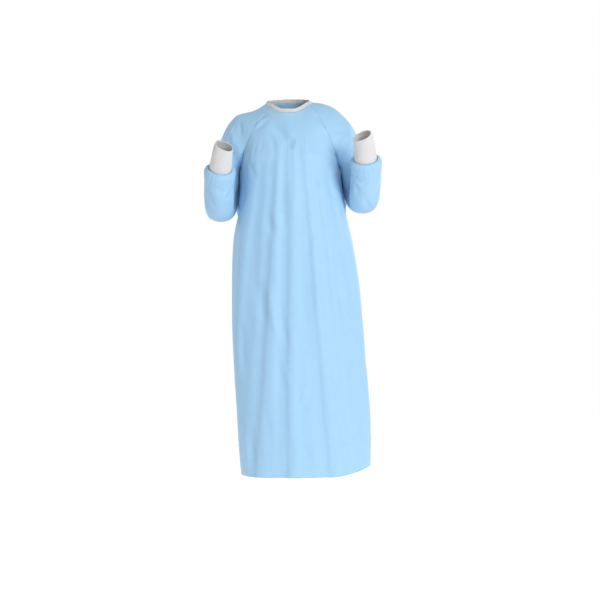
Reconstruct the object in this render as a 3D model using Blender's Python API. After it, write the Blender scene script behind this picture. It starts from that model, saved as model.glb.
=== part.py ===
"""Surgical gown, worn and hollow: raglan sleeves, knit cuffs, a bound neck and a wrapped back with ties.

The gown faces -Y and the wearer's left is +X. The origin is the middle of the neck opening at shoulder height.
Every cloth piece is a wall. The panels share their seam points, each panel is cut SEAM_GAP / 2 small all round,
and its wall is laid inwards from its outer face. All lengths are in metres.
"""

import math
from collections import defaultdict, namedtuple

import bmesh
import bpy
from mathutils import Vector
from mathutils.geometry import interpolate_bezier

# Cloth
PANEL_WALL = 0.0018
CUFF_WALL = 0.0022
BAND_WALL = 0.0024
TIE_WALL = 0.0014
SEAM_GAP = 0.0003

# Faceting: the number of spaces in each direction
HALF_FRONT = 9
HALF_SLEEVE = 8
HALF_BACK = 10
YOKE_ROWS = 8
SKIRT_ROWS = 15
ARM_ROWS = 20
CUFF_ROWS = 4
BAND_ROWS = 1
CURVE_SAMPLES = 60

# The wrapped back: columns past the middle, and how far the under panel lies below the outer one
LAP_COLUMNS = 3
LAP_DROP = 0.0040
DROP_COLUMNS = 3

# Neck binding and cuffs
BAND_HEIGHT = 0.013
BAND_STAND = 0.5
CUFF_LENGTH = 0.083
CUFF_BASE = (0.0360, 0.0330)
CUFF_TOP = (0.0295, 0.0265)
CLOSING_LENGTH = 0.014
CLOSING_STEPS = (0.50, 0.85, 1.00)

# Waist ties and neck tab
TIE_HEIGHT = -0.440
TIE_WIDTH = 0.020
TIE_LIFT = 0.0008
TIE_END_LENGTH = 0.235
TIE_COLUMNS = (0.03, 0.85)
TIE_DRIFTS = (-0.50, 0.35)
KNOT_COLUMN = 16.5
KNOT_STAND = 0.0005
KNOT_SIZE = (0.026, 0.019, 0.009)
TAB_LIFT = 0.0006
TAB_ROWS = (0.35, 1.15)

# The yoke, from the neckline to the armpit: the front's middle, the front seam, the shoulder ridge,
# the rear seam and the back's middle, on the wearer's left. "at" is the share of the way down.
Yoke = namedtuple(
    "Yoke",
    "at front_y front_z seam_x seam_y seam_z ridge_x ridge_z rear_x rear_y rear_z back_y back_z",
)
YOKE = (
    Yoke(0.00, -0.080, -0.050, 0.0660, -0.040, -0.020, 0.078, -0.006, 0.0640, 0.034, 0.000, 0.060, 0.006),
    Yoke(0.25, -0.095, -0.088, 0.0900, -0.069, -0.060, 0.118, -0.017, 0.0880, 0.064, -0.034, 0.083, -0.034),
    Yoke(0.50, -0.111, -0.130, 0.1150, -0.086, -0.106, 0.158, -0.037, 0.1130, 0.085, -0.082, 0.099, -0.084),
    Yoke(0.75, -0.125, -0.173, 0.1380, -0.080, -0.160, 0.194, -0.074, 0.1360, 0.082, -0.138, 0.109, -0.146),
    Yoke(0.90, -0.131, -0.198, 0.1505, -0.048, -0.196, 0.215, -0.112, 0.1495, 0.050, -0.186, 0.112, -0.187),
    Yoke(1.00, -0.134, -0.215, 0.1570, 0.000, -0.215, 0.228, -0.146, 0.1570, 0.000, -0.215, 0.114, -0.215),
)
CREASE_FROM = 0.60

# Level sections of the body below the armpit: how far it reaches to each side of the origin
Section = namedtuple("Section", "z right left front back")
BODY = (
    Section(-0.215, 0.157, 0.165, 0.134, 0.114),
    Section(-0.260, 0.152, 0.164, 0.137, 0.115),
    Section(-0.310, 0.156, 0.174, 0.138, 0.115),
    Section(-0.366, 0.166, 0.187, 0.139, 0.116),
    Section(-0.430, 0.180, 0.203, 0.140, 0.118),
    Section(-0.500, 0.183, 0.217, 0.142, 0.124),
    Section(-0.600, 0.184, 0.231, 0.144, 0.132),
    Section(-0.720, 0.184, 0.239, 0.147, 0.137),
    Section(-0.850, 0.178, 0.247, 0.150, 0.141),
    Section(-0.980, 0.169, 0.257, 0.153, 0.145),
    Section(-1.100, 0.162, 0.262, 0.156, 0.148),
    Section(-1.195, 0.157, 0.264, 0.158, 0.150),
)
BODY_FULLNESS = 1.12
HEM_RISE = 0.008

# Soft folds of the hanging cloth: where round the body (0 at the middle of the front, 1 at the middle of
# the back, + on the wearer's left), how far each stands out, its half width there, and its two ends
Fold = namedtuple("Fold", "around depth width top bottom")
FOLDS = (
    Fold(0.10, 0.0050, 0.11, -0.16, -0.95),
    Fold(-0.22, -0.0050, 0.08, -0.30, -1.30),
    Fold(-0.36, 0.0050, 0.06, -0.45, -1.40),
    Fold(0.34, -0.0055, 0.07, -0.40, -1.30),
    Fold(0.47, 0.0060, 0.05, -0.55, -1.40),
    Fold(-0.62, -0.0070, 0.06, -0.50, -1.40),
    Fold(0.66, -0.0080, 0.06, -0.48, -1.40),
    Fold(-0.76, 0.0075, 0.06, -0.40, -1.40),
    Fold(0.80, 0.0080, 0.07, -0.38, -1.40),
    Fold(0.93, -0.0060, 0.05, -0.30, -1.40),
)

# Each arm: the shoulder's lift, the inside of the bent elbow, and the open end of the cuff
Arm = namedtuple("Arm", "side lift armpit_x elbow_x crease_z cuff_x cuff_z")
ARMS = {
    "left": Arm(1, 0.008, 0.165, 0.241, -0.270, 0.226, -0.145),
    "right": Arm(-1, -0.014, 0.157, 0.219, -0.300, 0.195, -0.176),
}
CREASE_Y = -0.035
CUFF_Y = -0.205
BEND_RADIUS = 0.050
LEVEL_SHARE = 0.30

# The sleeve's half widths along its length: sideways, and in the plane in which the arm bends
Tube = namedtuple("Tube", "at wide deep")
SLEEVE = (
    Tube(0.00, 0.0500, 0.0600),
    Tube(0.20, 0.0510, 0.0530),
    Tube(0.40, 0.0490, 0.0465),
    Tube(0.60, 0.0480, 0.0440),
    Tube(0.80, 0.0480, 0.0455),
    Tube(1.00, 0.0470, 0.0450),
)

CLOTH_BLUE = (0.330, 0.610, 0.870, 1.0)
KNIT_WHITE = (0.800, 0.790, 0.780, 1.0)
BAND_CREAM = (0.760, 0.770, 0.740, 1.0)
FORWARD = Vector((0, -1, 0))
REARWARD = Vector((0, 1, 0))
LEFTWARD = Vector((1, 0, 0))
UPWARD = Vector((0, 0, 1))


# ---------------------------------------------------------------- curves and tables


def step(value):
    """0 below 0, 1 above 1, and smooth between them."""
    value = min(max(value, 0.0), 1.0)
    return value * value * (3 - 2 * value)


def read(table, key, column, at):
    """One column of a table at any station, on a smooth curve through its rows."""
    keys = [getattr(row, key) for row in table]
    values = [getattr(row, column) for row in table]
    if keys[0] > keys[-1]:
        keys, values = [-k for k in keys], values
        at = -at
    at = min(max(at, keys[0]), keys[-1])
    index = max(i for i in range(len(keys) - 1) if keys[i] <= at)

    def slope(i):
        low, high = max(i - 1, 0), min(i + 1, len(keys) - 1)
        return (values[high] - values[low]) / (keys[high] - keys[low])

    span = keys[index + 1] - keys[index]
    t = (at - keys[index]) / span
    start, end = values[index], values[index + 1]
    return (
        start * (1 + 2 * t) * (1 - t) ** 2
        + slope(index) * span * t * (1 - t) ** 2
        + end * t * t * (3 - 2 * t)
        + slope(index + 1) * span * t * t * (t - 1)
    )


def spaced(points, steps):
    """A polyline's points again, evenly spaced along it."""
    lengths = [0.0]
    for here, there in zip(points, points[1:]):
        lengths.append(lengths[-1] + (there - here).length)
    result, index = [], 0
    for i in range(steps + 1):
        wanted = lengths[-1] * i / steps
        while index < len(points) - 2 and lengths[index + 1] < wanted:
            index += 1
        span = lengths[index + 1] - lengths[index]
        share = (wanted - lengths[index]) / span if span else 0.0
        result.append(points[index].lerp(points[index + 1], share))
    return result


def roundest(start, leaving, end, arriving):
    """The handle length that makes a curve between two directions as near to a circle's arc as it can be."""
    return (end - start).length / (3 * math.cos(leaving.angle(arriving) / 4) ** 2)


def bent(start, leaving, end, arriving, steps):
    """A curve between two points; each handle's direction and length are given."""
    return spaced(interpolate_bezier(start, start + leaving, end - arriving, end, CURVE_SAMPLES), steps)


def arc(start, leaving, end, arriving, steps, fullness=1.0):
    """The roundest curve that leaves start in one direction and comes to end in another."""
    handle = fullness * roundest(start, leaving, end, arriving)
    return bent(start, leaving.normalized() * handle, end, arriving.normalized() * handle, steps)


# ---------------------------------------------------------------- the body


def yoke_points(at, arm):
    """The five points of a yoke row on one side: front middle, front seam, ridge, rear seam, back middle."""

    def value(column):
        return read(YOKE, "at", column, at)

    lift = arm.lift * math.sin(math.pi * min(at * 1.6 + 0.08, 1.0))
    widening = (arm.armpit_x - YOKE[-1].seam_x) * at
    middle = (ARMS["left"].armpit_x - ARMS["right"].armpit_x) / 2 * at
    outward = arm.side * LEFTWARD
    front = Vector((middle, value("front_y"), value("front_z")))
    back = Vector((middle, value("back_y"), value("back_z")))
    seam = outward * (value("seam_x") + widening) + Vector((0, value("seam_y"), value("seam_z") + lift * 0.7))
    rear = outward * (value("rear_x") + widening) + Vector((0, value("rear_y"), value("rear_z") + lift * 0.7))
    ridge = outward * (value("ridge_x") + widening) + Vector((0, 0, value("ridge_z") + lift))
    return front, seam, ridge, rear, back


def crease_at(at):
    """How far a yoke row is folded back at its seams: not at all above, and fully at the armpit."""
    return step((at - CREASE_FROM) / (1 - CREASE_FROM))


def seam_directions(before, seam, after, at, towards):
    """Which way a row crosses a raglan seam: into it and out of it, alike above, folded back at the armpit."""
    smooth = ((seam - before).normalized() + (after - seam).normalized()).normalized()
    into = smooth.lerp(towards, crease_at(at)).normalized()
    out = smooth.lerp(-towards, crease_at(at)).normalized()
    return into, out


def over_shoulder(seam, out, ridge, across, at, steps):
    """The sleeve's curve from a seam to the shoulder's ridge, as deep at the armpit as the tube that follows."""
    handle = roundest(seam, out, ridge, across)
    crease = crease_at(at)
    reach = SLEEVE[0].deep * 4 / 3
    at_seam = handle + (max(reach - abs(seam.y), 0.004) - handle) * crease
    at_ridge = handle + (reach - handle) * crease
    return bent(seam, out * at_seam, ridge, across * at_ridge, steps)


def yoke_row(at, arm, columns):
    """One side of a yoke row as three arcs: front middle to seam, over the shoulder, seam to back middle."""
    front, seam, ridge, rear, back = yoke_points(at, arm)
    outward = arm.side * LEFTWARD
    into, out = seam_directions(front, seam, ridge, at, REARWARD)
    rear_into, rear_out = seam_directions(back, rear, ridge, at, FORWARD)
    across = (rear - seam + REARWARD * 0.001).normalized()
    body = 1 + (BODY_FULLNESS - 1) * at
    half_front, half_sleeve, half_back = columns
    ahead = over_shoulder(seam, out, ridge, across, at, half_sleeve)
    behind = over_shoulder(rear, rear_out, ridge, -across, at, half_sleeve)
    return (
        arc(front, outward, seam, into, half_front, body),
        ahead + behind[-2::-1],
        arc(rear, -rear_into, back, -outward, half_back, body),
    )


def fold_offset(around, z):
    """How far the folds push the cloth out of its plain section."""
    total = 0.0
    for fold in FOLDS:
        away = abs(around - fold.around)
        away = min(away, 2 - away)
        fade = step((fold.top - z) / 0.22) * step((z - fold.bottom) / 0.22)
        total += fold.depth * fade * math.exp(-((away / fold.width) ** 2))
    return total


def skirt_row(z, side, columns):
    """One side of a level section below the armpit: front middle to side seam, and side seam to back middle."""

    def value(column):
        return read(BODY, "z", column, z)

    reach = value("left") if side > 0 else value("right")
    middle = (value("left") - value("right")) / 2
    rise = HEM_RISE * side * step((BODY[0].z - z) / (BODY[0].z - BODY[-1].z))
    outward = side * LEFTWARD
    front = Vector((middle, -value("front"), z))
    back = Vector((middle, value("back"), z))
    edge = Vector((side * reach, 0, z + rise))
    half_front, half_back = columns
    ahead = arc(front, outward, edge, REARWARD, half_front, BODY_FULLNESS)
    behind = arc(edge, REARWARD, back, -outward, half_back, BODY_FULLNESS)
    shares = [i / half_front / 2 for i in range(half_front + 1)]
    shares_behind = [0.5 + i / half_back / 2 for i in range(half_back + 1)]
    for row, share in ((ahead, shares), (behind, shares_behind)):
        for point, around in zip(row, share):
            radial = Vector((point.x - middle, point.y, 0)).normalized()
            point += radial * fold_offset(side * around, z)
    return ahead, behind


def body_grids():
    """The front's and the back's rows, neck to hem: the front from the wearer's right, the back from the left."""
    front, back = [], []
    columns = (HALF_FRONT, HALF_SLEEVE, HALF_BACK)
    left, right = ARMS["left"], ARMS["right"]
    for i in range(YOKE_ROWS + 1):
        left_front, _, left_back = yoke_row(i / YOKE_ROWS, left, columns)
        right_front, _, right_back = yoke_row(i / YOKE_ROWS, right, columns)
        front.append(right_front[::-1] + left_front[1:])
        back.append(left_back + right_back[-2::-1])
    top, hem = BODY[0].z, BODY[-1].z
    for i in range(1, SKIRT_ROWS + 1):
        z = top + (hem - top) * i / SKIRT_ROWS
        left_front, left_back = skirt_row(z, left.side, (HALF_FRONT, HALF_BACK))
        right_front, right_back = skirt_row(z, right.side, (HALF_FRONT, HALF_BACK))
        front.append(right_front[::-1] + left_front[1:])
        back.append(left_back + right_back[-2::-1])
    return front, back


# ---------------------------------------------------------------- the sleeves


def touching(point, centre, radius, way):
    """The angle round a circle at which a line from a point meets it as a tangent, in the (y, z) plane."""
    dy, dz = point[0] - centre[0], point[1] - centre[1]
    return math.atan2(dz, dy) + way * math.acos(radius / math.hypot(dy, dz))


def arm_path(arm, steps):
    """The sleeve's and the cuff's middle line: down the upper arm, round the elbow and up to the cuff's end."""
    _, armpit, ridge, _, _ = yoke_points(1.0, arm)
    shoulder = (armpit + ridge) / 2
    centre = (CREASE_Y, arm.crease_z)
    first = touching((shoulder.y, shoulder.z), centre, BEND_RADIUS, -1)
    last = touching((CUFF_Y, arm.cuff_z), centre, BEND_RADIUS, 1)
    if last > first:
        last -= 2 * math.pi
    flat = [Vector((0, shoulder.y, shoulder.z))]
    bend_steps = 24
    for i in range(bend_steps + 1):
        angle = first + (last - first) * i / bend_steps
        flat.append(
            Vector((0, centre[0] + BEND_RADIUS * math.cos(angle), centre[1] + BEND_RADIUS * math.sin(angle)))
        )
    flat.append(Vector((0, CUFF_Y, arm.cuff_z)))
    fine = spaced(flat, CURVE_SAMPLES * 4)
    outer = abs(shoulder.x), arm.elbow_x, arm.cuff_x
    for i, point in enumerate(fine):
        share = i / (len(fine) - 1)
        bulge = math.sin(math.pi * share) ** 0.8
        straight = outer[0] + (outer[2] - outer[0]) * share
        point.x = arm.side * (straight + (outer[1] - (outer[0] + outer[2]) / 2) * bulge)
    return spaced(fine, steps)


def tube_ring(middle, across, over, wide, deep, half_columns):
    """A round section: from its inner side over the elbow crease's side to the outer side, and back behind."""
    inner, outer = middle - across * wide, middle + across * wide
    fullness = deep / wide
    return (
        arc(inner, over, outer, -over, half_columns, fullness)
        + arc(outer, -over, inner, over, half_columns, fullness)[1:]
    )


def arm_rings(arm, rows, half_columns):
    """The sleeve's closed rings below the armpit and the cuff's rings, which carry on from them."""
    path_steps = 400
    path = arm_path(arm, path_steps)
    length = sum((b - a).length for a, b in zip(path, path[1:]))
    sleeve_share = (length - CUFF_LENGTH) / length
    closing = CLOSING_LENGTH / (length - CUFF_LENGTH)
    _, armpit, ridge, _, _ = yoke_points(1.0, arm)
    tilted = (ridge - armpit).normalized()

    def ring(share, wide, deep):
        index = min(max(round(share * path_steps), 1), path_steps - 1)
        along = (path[index + 1] - path[index - 1]).normalized()
        outward = arm.side * LEFTWARD
        square = (outward - along * along.dot(outward)).normalized()
        over = arm.side * along.cross(square)
        level = step(share / sleeve_share / LEVEL_SHARE)
        return tube_ring(
            path[round(share * path_steps)],
            tilted.lerp(square, level).normalized(),
            FORWARD.lerp(over, level).normalized(),
            wide,
            deep,
            half_columns,
        )

    sleeve = []
    plain_rows = rows - len(CLOSING_STEPS)
    ends = [i / plain_rows * (1 - closing) for i in range(1, plain_rows + 1)]
    for at in ends + [1 - closing * (1 - reached) for reached in CLOSING_STEPS]:
        reached = max((at - 1 + closing) / closing, 0.0)
        close = 1 - math.sqrt(max(1 - reached * reached, 0.0))
        wide = read(SLEEVE, "at", "wide", at)
        deep = read(SLEEVE, "at", "deep", at)
        sleeve.append(
            ring(
                at * sleeve_share,
                wide + (CUFF_BASE[0] - wide) * close,
                deep + (CUFF_BASE[1] - deep) * close,
            )
        )
    cuff = []
    for i in range(CUFF_ROWS + 1):
        at = i / CUFF_ROWS
        wide = CUFF_BASE[0] + (CUFF_TOP[0] - CUFF_BASE[0]) * at
        deep = CUFF_BASE[1] + (CUFF_TOP[1] - CUFF_BASE[1]) * at
        cuff.append(ring(sleeve_share + (1 - sleeve_share) * at, wide, deep))
    return sleeve, cuff


def sleeve_grids(arm):
    """A raglan sleeve's rows, open from the neck to the armpit and closed rings from there on, and its cuff's."""
    columns = (HALF_FRONT, HALF_SLEEVE, HALF_BACK)
    open_rows = [yoke_row(i / YOKE_ROWS, arm, columns)[1] for i in range(YOKE_ROWS + 1)]
    closed_rows, cuff = arm_rings(arm, ARM_ROWS, HALF_SLEEVE)
    return open_rows + closed_rows, cuff


# ---------------------------------------------------------------- sheets and walls


def key_of(point):
    """A point's place to the nearest hundredth of a millimetre, so that shared seam points meet."""
    return tuple(round(c * 1e5) for c in point)


def sheet_of(grid, outward):
    """A sheet of faces through a grid of points, its faces towards outward(point)."""
    bm = bmesh.new()
    rows = [[bm.verts.new(point) for point in row] for row in grid]
    for upper, lower in zip(rows, rows[1:]):
        for a, b, c, d in zip(upper, upper[1:], lower[1:], lower):
            bm.faces.new((a, b, c, d))
    bmesh.ops.remove_doubles(bm, verts=bm.verts, dist=1e-6)
    bm.normal_update()
    facing = sum(face.normal.dot(outward(face.calc_center_median())) for face in bm.faces)
    if facing < 0:
        bmesh.ops.reverse_faces(bm, faces=bm.faces)
    bm.normal_update()
    return bm


def from_axis(point):
    """Out from the body's upright axis and a little up, which tells a panel's outer side."""
    return Vector((point.x, point.y, 0.05))


def from_path(path):
    """Out from the nearest point of a middle line, which tells a tube's outer side."""
    return lambda point: point - min(path, key=lambda p: (p - point).length_squared)


def shared_directions(sheets):
    """Each panel's own outward direction at every point, made one with its neighbours' where the cloth is smooth."""
    found = defaultdict(dict)
    for name, bm in sheets.items():
        for vert in bm.verts:
            found[key_of(vert.co)][name] = vert.normal.copy()
    directions = {name: {} for name in sheets}
    for key, normals in found.items():
        for name, own in normals.items():
            total = Vector()
            for other in normals.values():
                total += other * step(own.dot(other) * 0.9 + 0.45)
            fold = max((1 - own.dot(other)) / 2 for other in normals.values())
            directions[name][key] = (total.normalized(), fold)
    return directions


def trimmed(bm, directions):
    """The sheet's points as cut: its edges drawn in by half a seam gap, along the cloth, and under it at a fold."""
    moves = {}
    for vert in bm.verts:
        inward = []
        for edge in vert.link_edges:
            if not edge.is_boundary:
                continue
            face = edge.link_faces[0]
            along = (edge.verts[1].co - edge.verts[0].co).normalized()
            side = face.normal.cross(along)
            if side.dot(face.calc_center_median() - vert.co) < 0:
                side.negate()
            inward.append(side.normalized())
        move = Vector()
        if len(inward) >= 2:
            move = (inward[0] + inward[1]) / max(1 + inward[0].dot(inward[1]), 0.35)
        elif inward:
            move = inward[0]
        direction, fold = directions[key_of(vert.co)]
        moves[vert] = move * SEAM_GAP / 2 - direction * SEAM_GAP * fold
    return moves


def wall(name, bm, directions, thickness, material, sink=None):
    """Makes a panel: the sheet, trimmed, with its wall extruded inwards along each point's own direction."""
    moves = trimmed(bm, directions)
    inner = {}
    for vert in bm.verts:
        direction = directions[key_of(vert.co)][0].copy()
        drop = sink(vert.co) if sink else 0.0
        vert.co += moves[vert] - direction * drop
        inner[key_of(vert.co)] = direction
    made = bmesh.ops.extrude_face_region(bm, geom=bm.faces[:], use_keep_orig=True)["geom"]
    for item in made:
        if isinstance(item, bmesh.types.BMVert):
            item.co -= inner[key_of(item.co)] * thickness
    return finished(name, bm, material)


def finished(name, bm, material):
    """Turns a bmesh into a named object with its material."""
    bmesh.ops.recalc_face_normals(bm, faces=bm.faces)
    bmesh.ops.triangulate(bm, faces=bm.faces)
    mesh = bpy.data.meshes.new(name)
    bm.to_mesh(mesh)
    bm.free()
    mesh.materials.append(material)
    mesh.shade_smooth()
    mesh.set_sharp_from_angle(angle=math.radians(40))
    obj = bpy.data.objects.new(name, mesh)
    bpy.context.scene.collection.objects.link(obj)
    return obj


def own_directions(bm):
    """A sheet's own outward directions, for a piece that shares no seam."""
    return {key_of(vert.co): (vert.normal.copy(), 0.0) for vert in bm.verts}


def make_material(name, colour, roughness):
    """A plain cloth material."""
    material = bpy.data.materials.new(name)
    material.use_nodes = True
    shader = material.node_tree.nodes["Principled BSDF"]
    shader.inputs["Base Color"].default_value = colour
    shader.inputs["Roughness"].default_value = roughness
    shader.inputs["Metallic"].default_value = 0.0
    return material


# ---------------------------------------------------------------- what lies on the panels


def make_binding(sleeves, front, back, directions, material):
    """The strip round the neckline, from the under panel's free edge round the neck to the outer panel's."""
    left_edge = HALF_BACK + LAP_COLUMNS
    right_edge = HALF_BACK - LAP_COLUMNS
    base, drops = [], []
    for column in range(right_edge, len(back[0])):
        base.append(("back", back[0][column]))
        drops.append(under_drop(column))
    base += [("sleeve_right", p) for p in sleeves["right"][0][-2::-1]]
    base += [("front_panel", p) for p in front[0][1:]]
    base += [("sleeve_left", p) for p in sleeves["left"][0][1:]]
    base += [("back", p) for p in back[0][1 : left_edge + 1]]
    drops += [0.0] * (len(base) - len(drops))
    rows = [[] for _ in range(BAND_ROWS + 1)]
    count = len(base)
    for i, ((name, point), drop) in enumerate(zip(base, drops)):
        before, after = base[max(i - 1, 0)][1], base[min(i + 1, count - 1)][1]
        direction = directions[name][key_of(point)][0]
        rise = direction.cross(after - before).normalized()
        if rise.z < 0 or rise.dot(Vector((point.x, point.y, 0))) > 0.5:
            rise.negate()
        rise = (rise + UPWARD * BAND_STAND).normalized()
        foot = point - direction * drop + rise * SEAM_GAP
        for r, row in enumerate(rows):
            row.append(foot + rise * BAND_HEIGHT * r / BAND_ROWS)
    bm = sheet_of(rows[::-1], lambda p: Vector((p.x, p.y, 0)))
    return wall("neck_binding", bm, own_directions(bm), BAND_WALL, material)


def under_drop(column):
    """How far the under back panel lies below the outer one at a column of the back's rows."""
    free_of_lap = column - (HALF_BACK + LAP_COLUMNS)
    return LAP_DROP * step(1 - free_of_lap / DROP_COLUMNS)


def on_grid(grid, row, column):
    """A point of a grid between its rows and columns."""
    top, left = min(int(row), len(grid) - 2), min(int(column), len(grid[0]) - 2)
    upper = grid[top][left].lerp(grid[top][left + 1], column - left)
    lower = grid[top + 1][left].lerp(grid[top + 1][left + 1], column - left)
    return upper.lerp(lower, row - top)


def facing_at(grid, row, column):
    """The outward direction of a back grid at a point between its rows and columns."""
    reach = 0.4
    down = on_grid(grid, row + reach, column) - on_grid(grid, max(row - reach, 0), column)
    along = on_grid(grid, row, column + reach) - on_grid(grid, row, column - reach)
    facing = down.cross(along).normalized()
    return facing if facing.y > 0 else -facing


def lap_lift(column, lift):
    """How high a strap lies: on the outer panel up to its free edge, and then down on the under panel."""
    past_edge = column - (HALF_BACK + LAP_COLUMNS)
    return lift - under_drop(column) * step((past_edge - 0.15) / 0.5)


def strap(back, cells, lift):
    """A sheet laid on the back: each cell is (row, column) corners, welded where they meet, and lifted off it."""
    bm = bmesh.new()
    for corners in cells:
        verts = []
        for row, column in corners:
            foot = on_grid(back, row, column)
            verts.append(bm.verts.new(foot + facing_at(back, row, column) * lap_lift(column, lift)))
        bm.faces.new(verts)
    bmesh.ops.remove_doubles(bm, verts=bm.verts, dist=1e-6)
    bm.normal_update()
    if sum(face.normal.y for face in bm.faces) < 0:
        bmesh.ops.reverse_faces(bm, faces=bm.faces)
        bm.normal_update()
    return bm


def cuts(start, end, extra=()):
    """Where a strap is divided: at both its ends, at each line of the grid between them, and at any extra place."""
    lines = range(math.ceil(start + 0.05), math.floor(end - 0.05) + 1)
    return sorted({start, end, *lines, *extra})


def strip_cells(rows, columns):
    """The cells of a strip that runs sideways, between the rows and the columns at which it is divided."""
    return [
        ((upper, a), (upper, b), (lower, b), (lower, a))
        for upper, lower in zip(rows, rows[1:])
        for a, b in zip(columns, columns[1:])
    ]


def make_tie(name, back, columns, end_columns, drift, material):
    """A tie: a run along the back at the waist, and its free end, which hangs from the knot."""
    row_height = (BODY[0].z - BODY[-1].z) / SKIRT_ROWS
    middle = YOKE_ROWS + (BODY[0].z - TIE_HEIGHT) / row_height
    half = TIE_WIDTH / 2 / row_height
    cells = strip_cells(cuts(middle - half, middle + half), columns)
    top, hang = middle + half, TIE_END_LENGTH / row_height
    across = cuts(*end_columns)
    rows = cuts(top, top + hang)
    for upper, lower in zip(rows, rows[1:]):
        here, there = drift * step((upper - top) / hang), drift * step((lower - top) / hang)
        for a, b in zip(across, across[1:]):
            cells.append(((upper, a + here), (upper, b + here), (lower, b + there), (lower, a + there)))
    bm = strap(back, cells, TIE_LIFT + TIE_WALL)
    return wall(name, bm, own_directions(bm), TIE_WALL, material)


def make_knot(back, material):
    """The knot: a flattened dome on the place where the two ties meet."""
    row_height = (BODY[0].z - BODY[-1].z) / SKIRT_ROWS
    row = YOKE_ROWS + (BODY[0].z - TIE_HEIGHT) / row_height
    centre = on_grid(back, row, KNOT_COLUMN)
    facing = facing_at(back, row, KNOT_COLUMN)
    seat = centre + facing * (TIE_LIFT + TIE_WALL + KNOT_STAND)
    across = facing.cross(UPWARD).normalized()
    up = across.cross(facing).normalized()
    bm = bmesh.new()
    bmesh.ops.create_uvsphere(bm, u_segments=14, v_segments=8, radius=0.5)
    bmesh.ops.bisect_plane(
        bm, geom=bm.verts[:] + bm.edges[:] + bm.faces[:], plane_co=(0, 0, 0), plane_no=(0, 0, -1), clear_outer=True
    )
    bmesh.ops.holes_fill(bm, edges=[e for e in bm.edges if e.is_boundary])
    width, height, depth = KNOT_SIZE
    for vert in bm.verts:
        x, y, z = vert.co
        vert.co = seat + across * x * width + up * y * height + facing * z * 2 * depth
    return finished("tie_knot", bm, material)


def make_tab(back, material):
    """The neck fastening: a tab on the outer back panel's corner that reaches on to the under panel."""
    edge = HALF_BACK + LAP_COLUMNS
    columns = cuts(edge - 2.6, edge + 2.6, (edge + 0.15, edge + 0.65))
    bm = strap(back, strip_cells(cuts(*TAB_ROWS), columns), TAB_LIFT + TIE_WALL)
    return wall("neck_tab", bm, own_directions(bm), TIE_WALL, material)


# ---------------------------------------------------------------- the gown


def clear_scene():
    for obj in list(bpy.data.objects):
        bpy.data.objects.remove(obj)


def make_gown():
    cloth = make_material("nonwoven_blue", CLOTH_BLUE, 0.72)
    knit = make_material("knit_white", KNIT_WHITE, 0.85)
    cream = make_material("binding_cream", BAND_CREAM, 0.80)

    front, back = body_grids()
    sleeves, cuffs, paths = {}, {}, {}
    for name, arm in ARMS.items():
        sleeves[name], cuffs[name] = sleeve_grids(arm)
        paths[name] = [Vector((arm.side * 0.05, 0, -0.10))] + arm_path(arm, 60)

    sheets = {"front_panel": sheet_of(front, from_axis), "back": sheet_of(back, from_axis)}
    for name in ARMS:
        sheets[f"sleeve_{name}"] = sheet_of(sleeves[name], from_path(paths[name]))
    directions = shared_directions(sheets)
    sheets.pop("back").free()

    left_edge = HALF_BACK + LAP_COLUMNS
    right_edge = HALF_BACK - LAP_COLUMNS
    column_at = {key_of(p): i for row in back for i, p in enumerate(row)}
    outer_back = sheet_of([row[: left_edge + 1] for row in back], from_axis)
    under_back = sheet_of([row[right_edge:] for row in back], from_axis)
    wall("back_panel_left", outer_back, directions["back"], PANEL_WALL, cloth)
    wall(
        "back_panel_right",
        under_back,
        directions["back"],
        PANEL_WALL,
        cloth,
        sink=lambda point: under_drop(column_at[key_of(point)]),
    )
    for name, bm in sheets.items():
        wall(name, bm, directions[name], PANEL_WALL, cloth)

    for name in ARMS:
        ring = sheet_of(cuffs[name], from_path(paths[name]))
        wall(f"cuff_{name}", ring, own_directions(ring), CUFF_WALL, knit)
    make_binding(sleeves, front, back, directions, cream)
    make_tab(back, knit)

    inside, outside = KNOT_COLUMN - TIE_COLUMNS[0], KNOT_COLUMN + TIE_COLUMNS[0]
    far_inside, far_outside = KNOT_COLUMN - TIE_COLUMNS[1], KNOT_COLUMN + TIE_COLUMNS[1]
    run = cuts(left_edge - 1.0, inside, (left_edge + 0.15, left_edge + 0.65, far_inside))
    make_tie("tie_flap", back, run, (far_inside, inside), TIE_DRIFTS[0], cloth)
    run = cuts(outside, 2 * HALF_BACK - 0.25, (far_outside,))
    make_tie("tie_side", back, run, (outside, far_outside), TIE_DRIFTS[1], cloth)
    make_knot(back, cloth)


clear_scene()
make_gown()
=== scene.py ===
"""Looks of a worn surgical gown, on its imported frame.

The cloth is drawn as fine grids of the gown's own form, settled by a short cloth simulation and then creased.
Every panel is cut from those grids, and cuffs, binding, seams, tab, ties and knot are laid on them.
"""

import math
from collections import defaultdict, namedtuple
from functools import lru_cache

import bmesh
import bpy
import numpy as np
from mathutils import Euler, Matrix, Vector, noise
from mathutils.geometry import interpolate_bezier
from mathutils.kdtree import KDTree


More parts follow.
